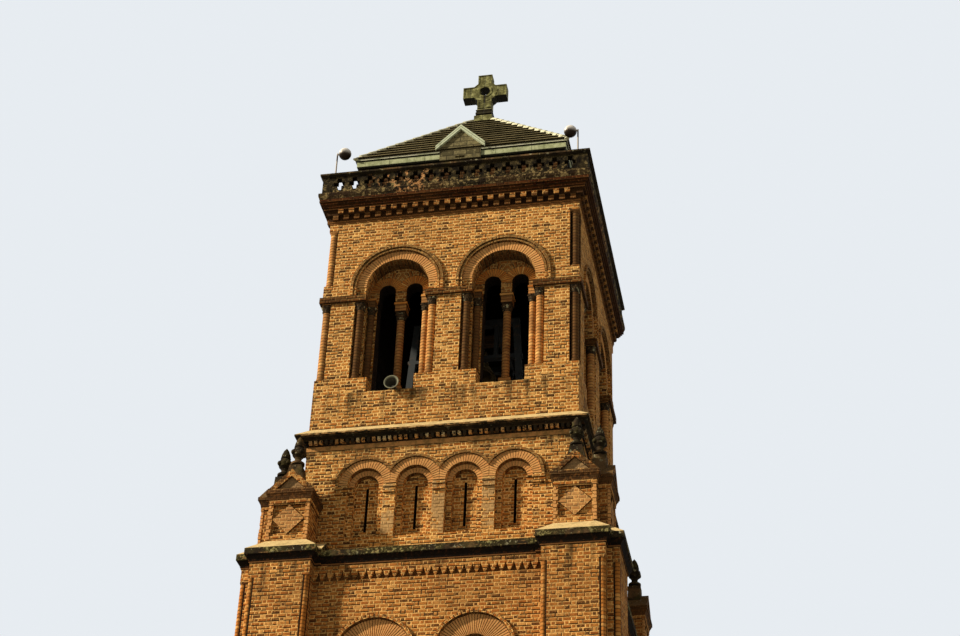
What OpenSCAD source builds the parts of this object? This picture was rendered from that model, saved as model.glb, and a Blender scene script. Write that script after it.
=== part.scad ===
// Brick bell tower, a scale model at one half of full size, in millimetres of the model.
// The origin is the centre of the footprint on the ground, +Z is up and the portal faces -Y.
// Each side of the square tower repeats the same storeys, turned by a quarter turn.

/* [Plan] */
// Width of the lower storeys over the wall faces
base_w = 5060; // [5000:10:5120]
// Width of the arcade and the belfry over the wall faces
tower_w = 4200; // [4180:10:4260]
// Clear width of the shaft inside
shaft_w = 3120; // [3110:2:3140]

/* [Corner piers] */
// Width of each arm of a corner pier
pier_w = 904; // [880:2:920]
// Projection of a pier arm from the lower wall face
pier_out = 216; // [190:2:240]
// Depth of the notch at the outer corner of a pier
pier_notch = 176; // [150:2:200]
// Radius of the round rolls on the edges of a pier
roll_r = 42; // [36:1:48]
// Inset of the pinnacle faces from the pier faces
pinnacle_inset = 150; // [130:2:170]

/* [Storey heights] */
// Height of the plinth
plinth_h = 700; // [600:10:800]
// Height of the portal storey
ground_h = 4300; // [4200:20:4400]
// Height of the storey of tall windows up to the lower cornice
middle_h = 7950; // [7850:20:8050]
// Height of the lower cornice below its weathering
lower_cornice_h = 210; // [190:2:230]
// Height of the arcade storey
arcade_h = 1990; // [1970:5:2020]
// Height of the ledge under the belfry
ledge_h = 184; // [160:2:200]
// Height of the belfry walls
belfry_h = 4236; // [4200:4:4300]
// Height of the main cornice
cornice_h = 570; // [540:5:600]
// Height of the pierced balustrade
balustrade_h = 343; // [320:1:370]
// Height of the attic behind the balustrade up to the eaves
attic_h = 1050; // [1000:10:1100]
// Height of the hipped roof up to the foot of the cross
roof_h = 2112; // [2050:4:2200]

/* [Portal] */
// Clear width of the doorway
door_w = 1000; // [900:10:1040]
// Height of the doorway above the floor
door_h = 1850; // [1750:10:1900]
// Height of the threshold above the ground
threshold_h = 150; // [120:5:180]

/* [Middle windows] */
// Distance of a middle window from the centre of the wall
mid_x = 710; // [690:5:730]
// Radius of a middle window opening
mid_r = 255; // [235:5:265]
// Outer radius of its hood
mid_hood_r = 605; // [590:5:620]
// Height of a middle window from the sill to the springing
mid_h = 1720; // [1600:10:1800]

/* [Belfry windows] */
// Distance of a belfry window from the centre of the wall
win_x = 874; // [860:2:880]
// Outer radius of the window hood
hood_r = 769; // [760:1:775]
// Half width of the outer order
order_r = 673; // [664:1:680]
// Half width of the inner order
inner_r = 515; // [505:1:525]
// Half width of each arched light
light_r = 137; // [130:1:142]
// Distance of a light from the window centre
light_x = 227; // [222:1:232]
// Radius of the round shafts beside the windows
shaft_r = 62; // [56:1:66]

/* [Arcade] */
// Spacing of the blind arches
bay = 755; // [745:1:760]
// Half width of the outer blind arch
arch_r = 281; // [270:1:290]
// Half width of the inner blind arch
panel_r = 191; // [180:1:200]
// Width of the slit in each arch
slit_w = 42; // [36:1:50]

/* [Crown] */
// Reach of the coping and cornice beyond the tower wall
crown_out = 200; // [180:2:210]
// Spacing of the pierced crosses in the balustrade
pierce_pitch = 262; // [256:1:262]
// Half width of the roof at the eaves
eave_half = 1842; // [1835:1:1850]
// Width of the arms of the cross
cross_bar = 268; // [250:2:280]
// Length of a cross arm beyond the crossing
cross_arm = 280; // [270:2:300]
// Radius of the round hole in the cross
cross_hole_r = 104; // [90:1:110]

/* [Bell] */
// Radius of the bell at its lip
bell_r = 380; // [340:5:400]
// Height of the bell
bell_h = 590; // [560:5:610]

/* [Hidden] */
$fn = 48;

// Half widths of the plan
base_half = base_w / 2;
tower_half = tower_w / 2;
shaft_half = shaft_w / 2;
pier_half = pier_w / 2;
pier_reach = pier_half + pier_notch;
pier_c = base_half + pier_out - pier_reach;
crown_half = tower_half + crown_out;
attic_half = 1750;
attic_t = 190;
foot_out = 50;

// Levels above the ground
z_string = plinth_h + ground_h;
z_lower_cornice = z_string + middle_h;
z_arcade = z_lower_cornice + lower_cornice_h;
z_ledge = z_arcade + arcade_h;
z_belfry = z_ledge + ledge_h;
z_main_cornice = z_belfry + belfry_h;
z_rail = z_main_cornice + cornice_h;
z_coping = z_rail + balustrade_h;
z_eaves = z_rail + attic_h;
z_roof_top = z_eaves + roof_h;
coping_h = 67;
string_h = 140;
dentil_foot = 60;
dentil_h = 95;
dentil_out = 62;
far = 3200;

// Belfry window levels
z_sill = z_belfry + 856;
z_block = z_sill + 270;
z_impost = z_belfry + 2606;
impost_h = 110;
z_spring = z_impost + impost_h + 188;
z_light_spring = z_spring + 62;
z_light_foot = z_impost + impost_h + 50;
step_1 = 150;
step_2 = 300;
ring_set = 35;
jamb_half = 381;

// Width of the masonry between two lights and of the inner impost blocks
light_gap = 2 * (light_x - light_r);
inner_w = inner_r - jamb_half - 6;

// Arcade levels
z_bay_sill = z_arcade + 450;
z_bay_spring = z_arcade + 1355;
z_bay_impost = z_bay_spring - 165;
bay_hood_r = 462;
z_pinnacle_eave = z_arcade + 1035;
gable_rise = 352;
gable_out = 62;

// Middle window levels
z_mid_spring = z_lower_cornice - 1430;
z_mid_sill = z_mid_spring - mid_h;
z_slit = z_string + 1600;
zigzag_half = pier_c - pier_half - 6;
zigzag_h = 178;
zigzag_t = 36;
z_zigzag = z_lower_cornice - 264;
slit_h = 1050;
lower_slit_w = 90;

// Roof and cross
roof_top_half = 180;
roof_run = (eave_half - roof_top_half) / roof_h;
roof_t = 150;
pedestal_h = 155;
cross_depth = 185;
dormer_half = 357;
dormer_out = 8;

// Portal sizes worked out from the doorway
portal_r = door_w / 2 + 140;
portal_step = 300;
portal_hood_r = portal_r + 90;
z_portal_spring = threshold_h + door_h;

// Floor levels and the top of the bell frame
floor_t = 120;
z_frame_top = z_belfry + 3000;
z_mid_floor = z_mid_sill - 500;

// Turns the children to all four sides
module four_sides() {
    for (i = [0 : 3])
        rotate([0, 0, 90 * i]) children();
}

// Draws the children at the pair of places at plus and minus x
module pair(x) {
    translate([x, 0, 0]) children();
    translate([-x, 0, 0]) children();
}

// Draws the children and their mirror image across the centre of the front
module both_hands() {
    children();
    mirror([1, 0, 0]) children();
}

// Stands a flat outline up on the front side between two distances from the axis
module upright(near_y, far_y) {
    translate([0, -near_y, 0]) rotate([90, 0, 0]) linear_extrude(height = far_y - near_y) children();
}

// Outline of a round-headed opening
module arch_outline(r, foot, spring) {
    translate([0, spring]) circle(r = r);
    translate([-r, foot]) square([2 * r, spring - foot]);
}

// Outline of an arched moulding with straight feet
module hood_outline(r_out, r_in, foot, spring) {
    difference() {
        arch_outline(r_out, foot, spring);
        arch_outline(r_in, foot - 1, spring);
        translate([-2 * r_out, foot - 2 * r_out]) square([4 * r_out, 2 * r_out]);
    }
}

// A square tube between two levels
module square_tube(half, inner, z0, z1) {
    difference() {
        translate([-half, -half, z0]) cube([2 * half, 2 * half, z1 - z0]);
        translate([-inner, -inner, z0 - 1]) cube([2 * inner, 2 * inner, z1 - z0 + 2]);
    }
}

// Profiles are lists of [projection, height] from the foot up
function mirrored(half, prof) = concat(
    [for (p = prof) [half + p[0], p[1]]],
    [for (i = [len(prof) - 1 : -1 : 0]) [-half - prof[i][0], prof[i][1]]]);
function one_side(reach, prof, start) = concat(
    [[start, prof[0][1]]],
    [for (p = prof) [reach + p[0], p[1]]],
    [[start, prof[len(prof) - 1][1]]]);
function cyma(e0, z0, e1, z1, n = 5) = [for (i = [0 : n])
    [e0 + (e1 - e0) * (1 - cos(180 * i / n)) / 2, z0 + (z1 - z0) * i / n]];

// A square block whose four sides follow a profile
module moulded_block(half, prof) {
    intersection() {
        rotate([90, 0, 0]) linear_extrude(height = 2 * far, center = true) polygon(mirrored(half, prof));
        rotate([90, 0, 90]) linear_extrude(height = 2 * far, center = true) polygon(mirrored(half, prof));
    }
}

// The arm of a corner pier that points to +Y, with moulded sides
module moulded_arm(prof) {
    intersection() {
        rotate([90, 0, 0]) linear_extrude(height = 2 * far, center = true)
            translate([pier_c, 0]) polygon(mirrored(pier_half, prof));
        rotate([90, 0, 90]) linear_extrude(height = 2 * far, center = true)
            polygon(one_side(pier_c + pier_reach, prof, shaft_half));
    }
}

// Both arms of a corner, the second mirrored across the diagonal
module both_arms() {
    children();
    mirror([1, -1, 0]) children();
}

// Plinth under the walls and the piers
module plinth() {
    prof = [[foot_out, 0], [foot_out, plinth_h - 90], [0, plinth_h]];
    color("peru") difference() {
        union() {
            moulded_block(base_half, prof);
            four_sides() both_arms() moulded_arm(prof);
        }
        translate([-shaft_half, -shaft_half, -1]) cube([shaft_w, shaft_w, plinth_h + 2]);
        translate([-door_w / 2, -far, threshold_h]) cube([door_w, far, plinth_h]);
        translate([-portal_r, -far, threshold_h]) cube([2 * portal_r, far - base_half + portal_step, plinth_h]);
    }
}

// Doorway with an arched recess and a flush tympanum above the door head
module ground_wall_front() {
    color("peru") {
        difference() {
            upright(shaft_half, base_half) translate([-shaft_half, plinth_h]) square([shaft_w, ground_h]);
            upright(base_half - portal_step, far) arch_outline(portal_r, threshold_h, z_portal_spring);
            upright(0, far) translate([-door_w / 2, threshold_h]) square([door_w, door_h]);
        }
        upright(base_half, base_half + 45)
            hood_outline(portal_hood_r, portal_r, z_portal_spring - 120, z_portal_spring);
    }
}

// Plain wall of the portal storey with two slit windows
module ground_wall_side() {
    z_low_slit = plinth_h + 1500;
    color("peru") difference() {
        upright(shaft_half, base_half) translate([-shaft_half, plinth_h]) square([shaft_w, ground_h]);
        pair(mid_x) upright(0, far) arch_outline(lower_slit_w / 2, z_low_slit, z_low_slit + slit_h);
    }
}

// Two timber leaves on strap blocks that stand open against the jambs of the doorway
module door_leaves() {
    leaf_t = 45;
    strap_t = 12;
    y_hang = portal_step - base_half + 10;
    color("saddlebrown") both_hands() {
        translate([door_w / 2 - strap_t - leaf_t, y_hang, threshold_h + 8])
            cube([leaf_t, door_w / 2 - 20, door_h - 16]);
        for (z = [300, door_h - 300])
            translate([door_w / 2 - strap_t, y_hang, threshold_h + z]) cube([strap_t, 90, 60]);
    }
}

// Moulded course between the piers at the foot of the middle storey
module string_course() {
    prof = concat([[0, 0]], cyma(12, 0, 60, 80), [[60, string_h - 30], [0, string_h]]);
    color("dimgray") four_sides()
        translate([pier_c - pier_half, -base_half, z_string]) rotate([90, 0, -90])
            linear_extrude(height = 2 * (pier_c - pier_half)) polygon(prof);
}

// Hood and radial fan are in the plane of the wall around one tall window
module mid_window_cut() {
    upright(base_half - ring_set, far) difference() {
        arch_outline(mid_hood_r - 50, z_mid_sill, z_mid_spring);
        translate([-mid_hood_r, z_mid_sill - 1]) square([2 * mid_hood_r, z_mid_spring - z_mid_sill - 60]);
    }
    upright(0, far) arch_outline(mid_r, z_mid_sill, z_mid_spring);
}

// Wall of the middle storey with a pair of tall windows over a pair of slits
module middle_wall_side() {
    color("peru") {
        difference() {
            upright(shaft_half, base_half) translate([-shaft_half, z_string]) square([shaft_w, middle_h]);
            pair(mid_x) {
                mid_window_cut();
                upright(0, far) arch_outline(lower_slit_w / 2, z_slit, z_slit + slit_h);
            }
            zigzag_rebate();
        }
        pair(mid_x) upright(base_half, base_half + 40)
            hood_outline(mid_hood_r, mid_hood_r - 50, z_mid_spring - 60, z_mid_spring);
    }
}

// One corner pier, stepped at its outer corner, with a round roll on each edge
module corner_pier() {
    lo = pier_c - pier_half;
    hi = pier_c + pier_half;
    out = pier_c + pier_reach;
    z_roll = plinth_h + 150;
    roll_h = z_lower_cornice - 230 - z_roll;
    notch = roll_r * 5 / 3;
    outline = [[shaft_half, shaft_half], [base_half, shaft_half], [base_half, lo], [out, lo],
        [out, hi], [hi, hi], [hi, out], [lo, out], [lo, base_half], [shaft_half, base_half]];
    color("peru") {
        difference() {
            translate([0, 0, plinth_h]) linear_extrude(height = z_lower_cornice - plinth_h) polygon(outline);
            both_arms() {
                translate([lo - notch, out - notch, z_roll]) cube([2 * notch, 2 * notch, roll_h]);
                translate([hi - notch, out - notch, z_roll]) cube([2 * notch, 2 * notch, roll_h]);
                rotate([0, 0, 180]) zigzag_rebate();
            }
        }
        both_arms() {
            translate([lo + roll_r, out - roll_r, z_roll]) cylinder(r = roll_r, h = roll_h);
            translate([hi - roll_r, out - roll_r, z_roll]) cylinder(r = roll_r, h = roll_h);
        }
    }
}

// Four piers from the plinth to the lower cornice
module corner_piers() {
    four_sides() corner_pier();
}

// Rebate for the zigzag band in the wall face between two piers
module zigzag_rebate() {
    upright(base_half - zigzag_t, far) translate([-zigzag_half, z_zigzag]) square([2 * zigzag_half, zigzag_h]);
}

// Band of cut bricks under the lower cornice, flush with the wall and pierced by a row of triangles
module zigzag_band() {
    count = 28;
    tooth = 2 * zigzag_half / count;
    color("sienna") four_sides() upright(base_half - zigzag_t, base_half) difference() {
        translate([-zigzag_half, z_zigzag]) square([2 * zigzag_half, zigzag_h]);
        for (i = [0 : count - 1])
            translate([(i - (count - 1) / 2) * tooth, z_zigzag])
                polygon([[-tooth * 0.44, 12], [tooth * 0.44, 12], [0, zigzag_h - 12]]);
    }
}

// Cornice that breaks forward round the piers, with sloping weatherings on top
module lower_cornice() {
    foot = concat([[14, z_lower_cornice], [14, z_lower_cornice + 22]],
        cyma(22, z_lower_cornice + 22, 66, z_lower_cornice + 115),
        [[78, z_lower_cornice + 115], [78, z_arcade]]);
    wall_prof = concat(foot, [[tower_half - base_half, z_arcade + 170]]);
    arm_prof = concat(foot, [[-pinnacle_inset, z_arcade + 213]]);
    color("darkolivegreen") difference() {
        union() {
            moulded_block(base_half, wall_prof);
            four_sides() both_arms() moulded_arm(arm_prof);
        }
        translate([-shaft_half, -shaft_half, 0]) cube([shaft_w, shaft_w, z_ledge]);
        translate([-tower_half, -tower_half, z_arcade]) cube([tower_w, tower_w, arcade_h]);
        four_sides() both_arms() pinnacle_arm_block(z_arcade + 400);
    }
}

// Plain shaft of one pinnacle arm, from the bed on the cornice up to a level
module pinnacle_arm_block(z_top) {
    half = pier_half - pinnacle_inset;
    translate([pier_c - half, pier_c - half, z_arcade])
        cube([2 * half, pier_reach - pinnacle_inset + half, z_top - z_arcade]);
}

// One outward arm of a pinnacle with its panel, moulded eaves and gable
module pinnacle_arm() {
    half = pier_half - pinnacle_inset;
    face = pier_c + pier_reach - pinnacle_inset;
    z_band = z_pinnacle_eave - 205;
    z_eave = z_pinnacle_eave;
    rise = gable_rise;
    gable_half = half + gable_out;
    panel = 118;
    panel_z = z_arcade + 322;
    raking_t = 72;
    band = concat([[0, z_band], [14, z_band], [14, z_band + 40]],
        cyma(20, z_band + 60, 52, z_band + 150), [[gable_out, z_band + 150], [gable_out, z_eave]]);
    difference() {
        union() {
            pinnacle_arm_block(z_eave);
            intersection() {
                rotate([90, 0, 0]) linear_extrude(height = 2 * far, center = true)
                    translate([pier_c, 0]) polygon(mirrored(half, band));
                rotate([90, 0, 90]) linear_extrude(height = 2 * far, center = true)
                    polygon(one_side(face, band, pier_c - half));
            }
            translate([pier_c, face + gable_out - 14, z_eave]) rotate([90, 0, 0])
                linear_extrude(height = face + gable_out - 14 - pier_c)
                    polygon([[-gable_half, 0], [gable_half, 0], [0, rise]]);
        }
        translate([pier_c, face - 36, 0]) rotate([-90, 0, 0]) mirror([0, 1, 0])
            linear_extrude(height = 200) difference() {
                translate([-half + panel / 2, panel_z]) square([2 * half - panel, 2 * half - panel]);
                translate([0, panel_z + half - panel / 2]) rotate(45)
                    square((2 * half - panel) / sqrt(2) - 6, center = true);
            }
        translate([pier_c, face, z_eave]) rotate([-90, 0, 0]) mirror([0, 1, 0])
            linear_extrude(height = 200)
                polygon([[-gable_half + 2 * raking_t, 22], [gable_half - 2 * raking_t, 22],
                    [0, 22 + (gable_half - 2 * raking_t) * rise / gable_half]]);
    }
}

// Four cross-gabled pinnacles against the corners of the arcade
module pinnacles() {
    color("peru") four_sides() difference() {
        both_arms() pinnacle_arm();
        translate([-1, -1, 0]) cube([tower_half + 1, tower_half + 1, z_belfry]);
    }
}

// Stone finial on a saddle block that sits astride a gable ridge
module finial() {
    ridge_slope = gable_rise / (pier_half - pinnacle_inset + gable_out);
    saddle_w = 145;
    cap = [[0, 0], [72, 0], [72, 22], [104, 40], [104, 72], [84, 88], [60, 104], [48, 132], [56, 160],
        [92, 205], [106, 255], [96, 300], [66, 335], [78, 352], [66, 420], [40, 490], [0, 545]];
    rotate([90, 0, 0]) linear_extrude(height = 210, center = true)
        polygon([[0, 0], [saddle_w, -saddle_w * ridge_slope], [92, 146], [-92, 146],
            [-saddle_w, -saddle_w * ridge_slope]]);
    translate([0, 0, 146]) {
        rotate_extrude() polygon(cap);
        for (a = [0 : 90 : 270])
            rotate([0, 0, a + 45]) translate([88, 0, 250]) sphere(r = 42);
    }
}

// Two finials on each pinnacle, one behind the apex of each outward gable
module finials() {
    face = pier_c + pier_reach - pinnacle_inset;
    color("dimgray") four_sides() both_arms()
        translate([pier_c, tower_half + (face - tower_half) * 0.64, z_pinnacle_eave + gable_rise]) finial();
}

// Recess, inner panel and slit of one blind arch
module bay_cut() {
    upright(tower_half - 80, far) arch_outline(arch_r, z_bay_sill, z_bay_spring);
    upright(tower_half - 160, far) arch_outline(panel_r, z_bay_sill + 60, z_bay_spring);
    upright(0, far) translate([-slit_w / 2, z_bay_spring - 731]) square([slit_w, 744]);
}

// Hood rings of the four arches, merged where they meet
module bay_hoods() {
    foot = z_bay_spring - 40;
    upright(tower_half, tower_half + 34) difference() {
        for (i = [-1.5 : 1 : 1.5])
            translate([i * bay, 0]) arch_outline(bay_hood_r, foot, z_bay_spring);
        for (i = [-1.5 : 1 : 1.5])
            translate([i * bay, 0]) arch_outline(bay_hood_r - 40, foot - 1, z_bay_spring);
        translate([-3 * bay, foot - bay]) square([6 * bay, bay]);
    }
}

// Moulded impost blocks on the pilasters between the arches
module bay_imposts() {
    width = bay - 2 * arch_r;
    prof = [[0, 0], [30, 0], [30, 26], [16, 34], [16, 84], [34, 92], [34, 118], [0, 118]];
    for (i = [-1 : 1])
        translate([i * bay + width / 2, -tower_half, z_bay_impost]) rotate([90, 0, -90])
            linear_extrude(height = width) polygon(prof);
    for (i = [-1, 1])
        translate([i * (2 * bay - width / 4) + width * 3 / 4, -tower_half, z_bay_impost])
            rotate([90, 0, -90]) linear_extrude(height = width * 1.5) polygon(prof);
}

// Arcade wall of a given half width with four blind arches
module arcade_wall(half) {
    color("peru") {
        difference() {
            upright(shaft_half, tower_half) translate([-half, z_arcade]) square([2 * half, arcade_h]);
            for (i = [-1.5 : 1 : 1.5])
                translate([i * bay, 0, 0]) bay_cut();
        }
        bay_hoods();
        bay_imposts();
    }
}

// Moulded ledge with a pale weathering at the foot of the belfry
module belfry_ledge() {
    lip = z_belfry + 52;
    prof = concat([[8, z_ledge], [8, z_ledge + 78], [34, z_ledge + 88], [34, z_ledge + 146]],
        cyma(88, z_ledge + 146, 142, lip - 36, 4), [[158, lip - 36], [172, lip - 28], [172, lip],
        [0, z_belfry + 211]]);
    color("darkolivegreen") difference() {
        moulded_block(tower_half, prof);
        translate([-shaft_half, -shaft_half, 0]) cube([shaft_w, shaft_w, z_rail]);
        translate([-tower_half, -tower_half, z_belfry]) cube([tower_w, tower_w, belfry_h]);
    }
}

// All the steps cut into the wall for one belfry window
module window_cut() {
    upright(tower_half - step_1, far) translate([-order_r, z_block]) square([2 * order_r, z_impost - z_block]);
    upright(tower_half - ring_set, far) arch_outline(order_r, z_impost + impost_h, z_spring);
    upright(tower_half - step_2, far) arch_outline(inner_r, z_block + 20, z_spring);
    upright(0, far) translate([-jamb_half, z_sill]) square([2 * jamb_half, z_light_foot - z_sill]);
    pair(light_x) upright(0, far) arch_outline(light_r, z_light_foot - 1, z_light_spring);
}

// Double hood moulding of one belfry window, stopped on the impost string
module window_hood() {
    z_foot = z_impost + impost_h;
    upright(tower_half, tower_half + 36) hood_outline(hood_r, hood_r - 44, z_foot, z_spring);
    upright(tower_half, tower_half + 20) hood_outline(order_r + 32, order_r, z_foot, z_spring);
}

// Notches at both ends of a wall for the shafts in the tower corners
module corner_notches() {
    both_hands() for (z = [[z_block, z_impost], [z_spring + 60, z_main_cornice - 130]])
        translate([tower_half - step_1, -far, z[0]]) cube([far, far - tower_half + step_1, z[1] - z[0]]);
}

// Belfry wall of a given half width with two twin-light windows
module belfry_wall(half) {
    color("peru") {
        difference() {
            upright(shaft_half, tower_half) translate([-half, z_belfry]) square([2 * half, belfry_h]);
            pair(win_x) window_cut();
            if (half > shaft_half) {
                corner_notches();
                for (a = [-90, 90])
                    rotate([0, 0, a]) pair(win_x) window_cut();
            }
        }
        pair(win_x) window_hood();
    }
}

// Moulded string at the imposts, returned into the window reveals
module impost_string() {
    reveal = 26;
    strip = 40;
    edge = win_x - inner_r;
    outer = win_x + inner_r;
    corner = tower_half + strip;
    back = tower_half - step_1;
    color("darkolivegreen") translate([0, 0, z_impost]) linear_extrude(height = impost_h) {
        four_sides() {
            polygon([[-edge - reveal, -corner], [edge + reveal, -corner], [edge + reveal, -back],
                [edge, -back], [edge, -tower_half], [-edge, -tower_half], [-edge, -back],
                [-edge - reveal, -back]]);
            polygon([[outer - reveal, -corner], [corner, -corner], [corner, -outer + reveal],
                [back, -outer + reveal], [back, -outer], [tower_half, -outer],
                [tower_half, -tower_half], [outer, -tower_half], [outer, -back],
                [outer - reveal, -back]]);
        }
    }
}

// Round shaft of stacked bricks between a moulded base and a block capital
module colonnette(r, h, cap_h, base_h) {
    prof = [[0, 0], [r + 14, 0], [r + 14, base_h * 0.4], [r + 4, base_h * 0.55], [r + 8, base_h * 0.8],
        [r, base_h], [r, h - cap_h], [r + 6, h - cap_h + 6], [r - 2, h - cap_h + 16],
        [r + 12, h - cap_h * 0.34], [0, h - cap_h * 0.34]];
    rotate_extrude() polygon(prof);
    translate([-r - 12, -r - 12, h - cap_h * 0.36]) cube([2 * r + 24, 2 * r + 24, cap_h * 0.36]);
}

// The outer, inner and middle shafts of one belfry window
module window_shafts() {
    y_outer = step_1 / 2 - tower_half;
    y_inner = step_1 + (step_2 - step_1) / 2 - tower_half;
    y_middle = step_2 + (tower_half - shaft_half - step_2) / 2 - tower_half;
    outer_x = (order_r + inner_r) / 2;
    inner_x = (inner_r + jamb_half) / 2;
    block = 190;
    pair(outer_x) translate([0, y_outer, z_block])
        colonnette(shaft_r, z_impost - z_block, 150, 70);
    pair(inner_x) translate([0, y_inner, z_block + 20]) {
        colonnette(shaft_r - 10, z_impost - z_block - 20, 130, 60);
        translate([-inner_w / 2, -inner_w / 2, z_impost - z_block - 20])
            cube([inner_w, inner_w, z_light_foot - z_impost]);
    }
    translate([0, y_middle, z_sill]) {
        translate([-block / 2, -block / 2, 0]) cube([block, block, z_block - z_sill + 20]);
        translate([0, 0, z_block - z_sill + 20])
            colonnette(shaft_r, z_impost - z_block - 40, 140, 60);
        translate([-light_gap / 2, -block / 2, z_impost - z_sill - 20])
            cube([light_gap, block, z_light_foot - z_impost + 20]);
    }
}

// Shafts in the notches at the corners of the belfry
module corner_shaft_pair() {
    at = tower_half - step_1 / 2;
    translate([at, -at, z_block]) colonnette(shaft_r, z_impost - z_block, 150, 70);
    translate([at, -at, z_spring + 60])
        colonnette(shaft_r, z_main_cornice - 130 - z_spring - 60, 60, 60);
}

// All round shafts of the belfry
module colonnettes() {
    color("burlywood") four_sides() {
        pair(win_x) window_shafts();
        corner_shaft_pair();
    }
}

// Corbelled brick cornice under a moulded stone course
module main_cornice() {
    z = z_main_cornice;
    z_row = z + dentil_foot;
    prof = concat([[6, z], [6, z + 34], [16, z + 34], [16, z_row], [20, z_row], [20, z_row + dentil_h],
        [dentil_out, z_row + dentil_h], [dentil_out, z + 250],
        [crown_out * 0.52, z + 250], [crown_out * 0.52, z + 285], [crown_out * 0.63, z + 285],
        [crown_out * 0.63, z + 330], [crown_out * 0.76, z + 330], [crown_out * 0.76, z + 375],
        [crown_out * 0.88, z + 375], [crown_out * 0.88, z + 425]],
        cyma(crown_out * 0.9, z + 430, crown_out, z + 500, 3), [[crown_out, z_rail - 20], [crown_out - 20, z_rail]]);
    color("sienna") difference() {
        moulded_block(tower_half, prof);
        translate([-shaft_half, -shaft_half, 0]) cube([shaft_w, shaft_w, z_eaves]);
    }
}

// Two rows of brick dentils set in a chequer under the corbelled courses
module cornice_dentils() {
    pitch = 182;
    count = 23;
    width = 92;
    color("sienna") four_sides() for (row = [0, 1])
        for (i = [0 : count - 1 - row])
            translate([(i - (count - 1 - row) / 2) * pitch - width / 2,
                -tower_half - dentil_out - row * (crown_out * 0.52 - dentil_out),
                z_main_cornice + dentil_foot + row * dentil_h]) cube([width, 42, dentil_h]);
}

// Balustrade panels pierced with a row of crosses
module balustrade_panels() {
    rail_t = 110;
    rail_half = crown_half - 45;
    count = 16;
    arm = 94;
    stem = 40;
    stem_h = 125;
    z_mid = z_rail + balustrade_h / 2 + 10;
    run = rail_half - 155;
    color("darkkhaki") four_sides() upright(rail_half - rail_t, rail_half) difference() {
        translate([-run, z_rail]) square([2 * run, balustrade_h]);
        for (i = [0 : count - 1])
            translate([(i - (count - 1) / 2) * pierce_pitch, z_mid])
                polygon([[-arm, -stem], [-stem, -stem], [-stem, -stem_h], [stem, -stem_h],
                    [stem, -stem], [arm, -stem], [arm, stem], [stem, stem], [stem, stem_h],
                    [-stem, stem_h], [-stem, stem], [-arm, stem]]);
    }
}

// Solid corner blocks between the balustrade panels
module balustrade_corners() {
    rail_half = crown_half - 45;
    color("darkkhaki") four_sides()
        translate([rail_half - 155, rail_half - 155, z_rail]) cube([155, 155, balustrade_h]);
}

// Moulded coping on the balustrade
module balustrade_coping() {
    prof = [[-30, z_coping], [-16, z_coping + 16], [0, z_coping + 26], [0, z_coping + coping_h - 8],
        [-10, z_coping + coping_h]];
    color("dimgray") difference() {
        moulded_block(crown_half, prof);
        translate([-crown_half + 175, -crown_half + 175, 0])
            cube([2 * crown_half - 350, 2 * crown_half - 350, z_roof_top]);
    }
}

// Low wall behind the balustrade that carries the roof
module attic_wall() {
    color("tan") square_tube(attic_half, attic_half - attic_t, z_rail, z_eaves);
}

// The solid outline of the roof between two half widths and two levels
module pyramid(foot_half, z0, head_half, z1) {
    moulded_block(0, [[foot_half, z0], [head_half, z1]]);
}

// Hipped roof shell, cut off level under the foot of the cross
module roof() {
    cap_t = 120;
    color("darkolivegreen") difference() {
        pyramid(eave_half, z_eaves, roof_top_half, z_roof_top);
        pyramid(eave_half - roof_t, z_eaves, roof_top_half - roof_t + roof_run * cap_t, z_roof_top - cap_t);
    }
}

// Small gabled dormer with a raking coping in the middle of each roof slope
module dormers() {
    face = eave_half + dormer_out;
    z_foot = z_eaves - 217;
    z_eave = z_eaves + 80;
    rise = dormer_half;
    lap = 73;
    t = 93;
    color("darkseagreen") difference() {
        four_sides() {
            upright(900, face) polygon([[-dormer_half, z_foot], [dormer_half, z_foot], [dormer_half, z_eave],
                [0, z_eave + rise], [-dormer_half, z_eave]]);
            upright(900, face + 40) polygon([[-dormer_half - lap, z_eave - lap],
                [0, z_eave + rise], [dormer_half + lap, z_eave - lap], [dormer_half + lap, z_eave + t - lap],
                [0, z_eave + rise + t], [-dormer_half - lap, z_eave + t - lap]]);
        }
        pyramid(eave_half, z_eaves, roof_top_half, z_roof_top);
        translate([-attic_half, -attic_half, 0]) cube([2 * attic_half, 2 * attic_half, z_eaves]);
        four_sides() upright(face - 60, far) translate([-80, z_foot + 30]) square([160, 45]);
    }
}

// Copper rolls along the four hips
module roof_hips() {
    roll = 38;
    run = eave_half - roof_top_half;
    length = norm([run, run, roof_h]);
    color("darkseagreen") four_sides() difference() {
        intersection() {
            translate([eave_half, eave_half, z_eaves]) rotate([0, 0, 45])
                rotate([0, -atan2(norm([run, run]), roof_h), 0])
                    translate([0, 0, -200]) cylinder(r = roll, h = length + 400);
            translate([0, 0, z_eaves]) cube([far, far, roof_h]);
        }
        pyramid(eave_half, z_eaves, roof_top_half, z_roof_top);
    }
}

// Moulded copper gutter round the eaves, open where the dormers stand
module eaves_gutter() {
    depth = 180;
    out = eave_half - attic_half;
    prof = [[out * 0.6, z_eaves - depth], [out * 0.78, z_eaves - depth + 24], [out * 0.78, z_eaves - 46],
        [out, z_eaves - 30], [out, z_eaves]];
    color("darkseagreen") difference() {
        moulded_block(attic_half, prof);
        translate([-attic_half, -attic_half, 0]) cube([2 * attic_half, 2 * attic_half, z_roof_top]);
        translate([-dormer_half, -far, 0]) cube([2 * dormer_half, 2 * far, z_roof_top]);
        translate([-far, -dormer_half, 0]) cube([2 * far, 2 * dormer_half, z_roof_top]);
    }
}

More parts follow.
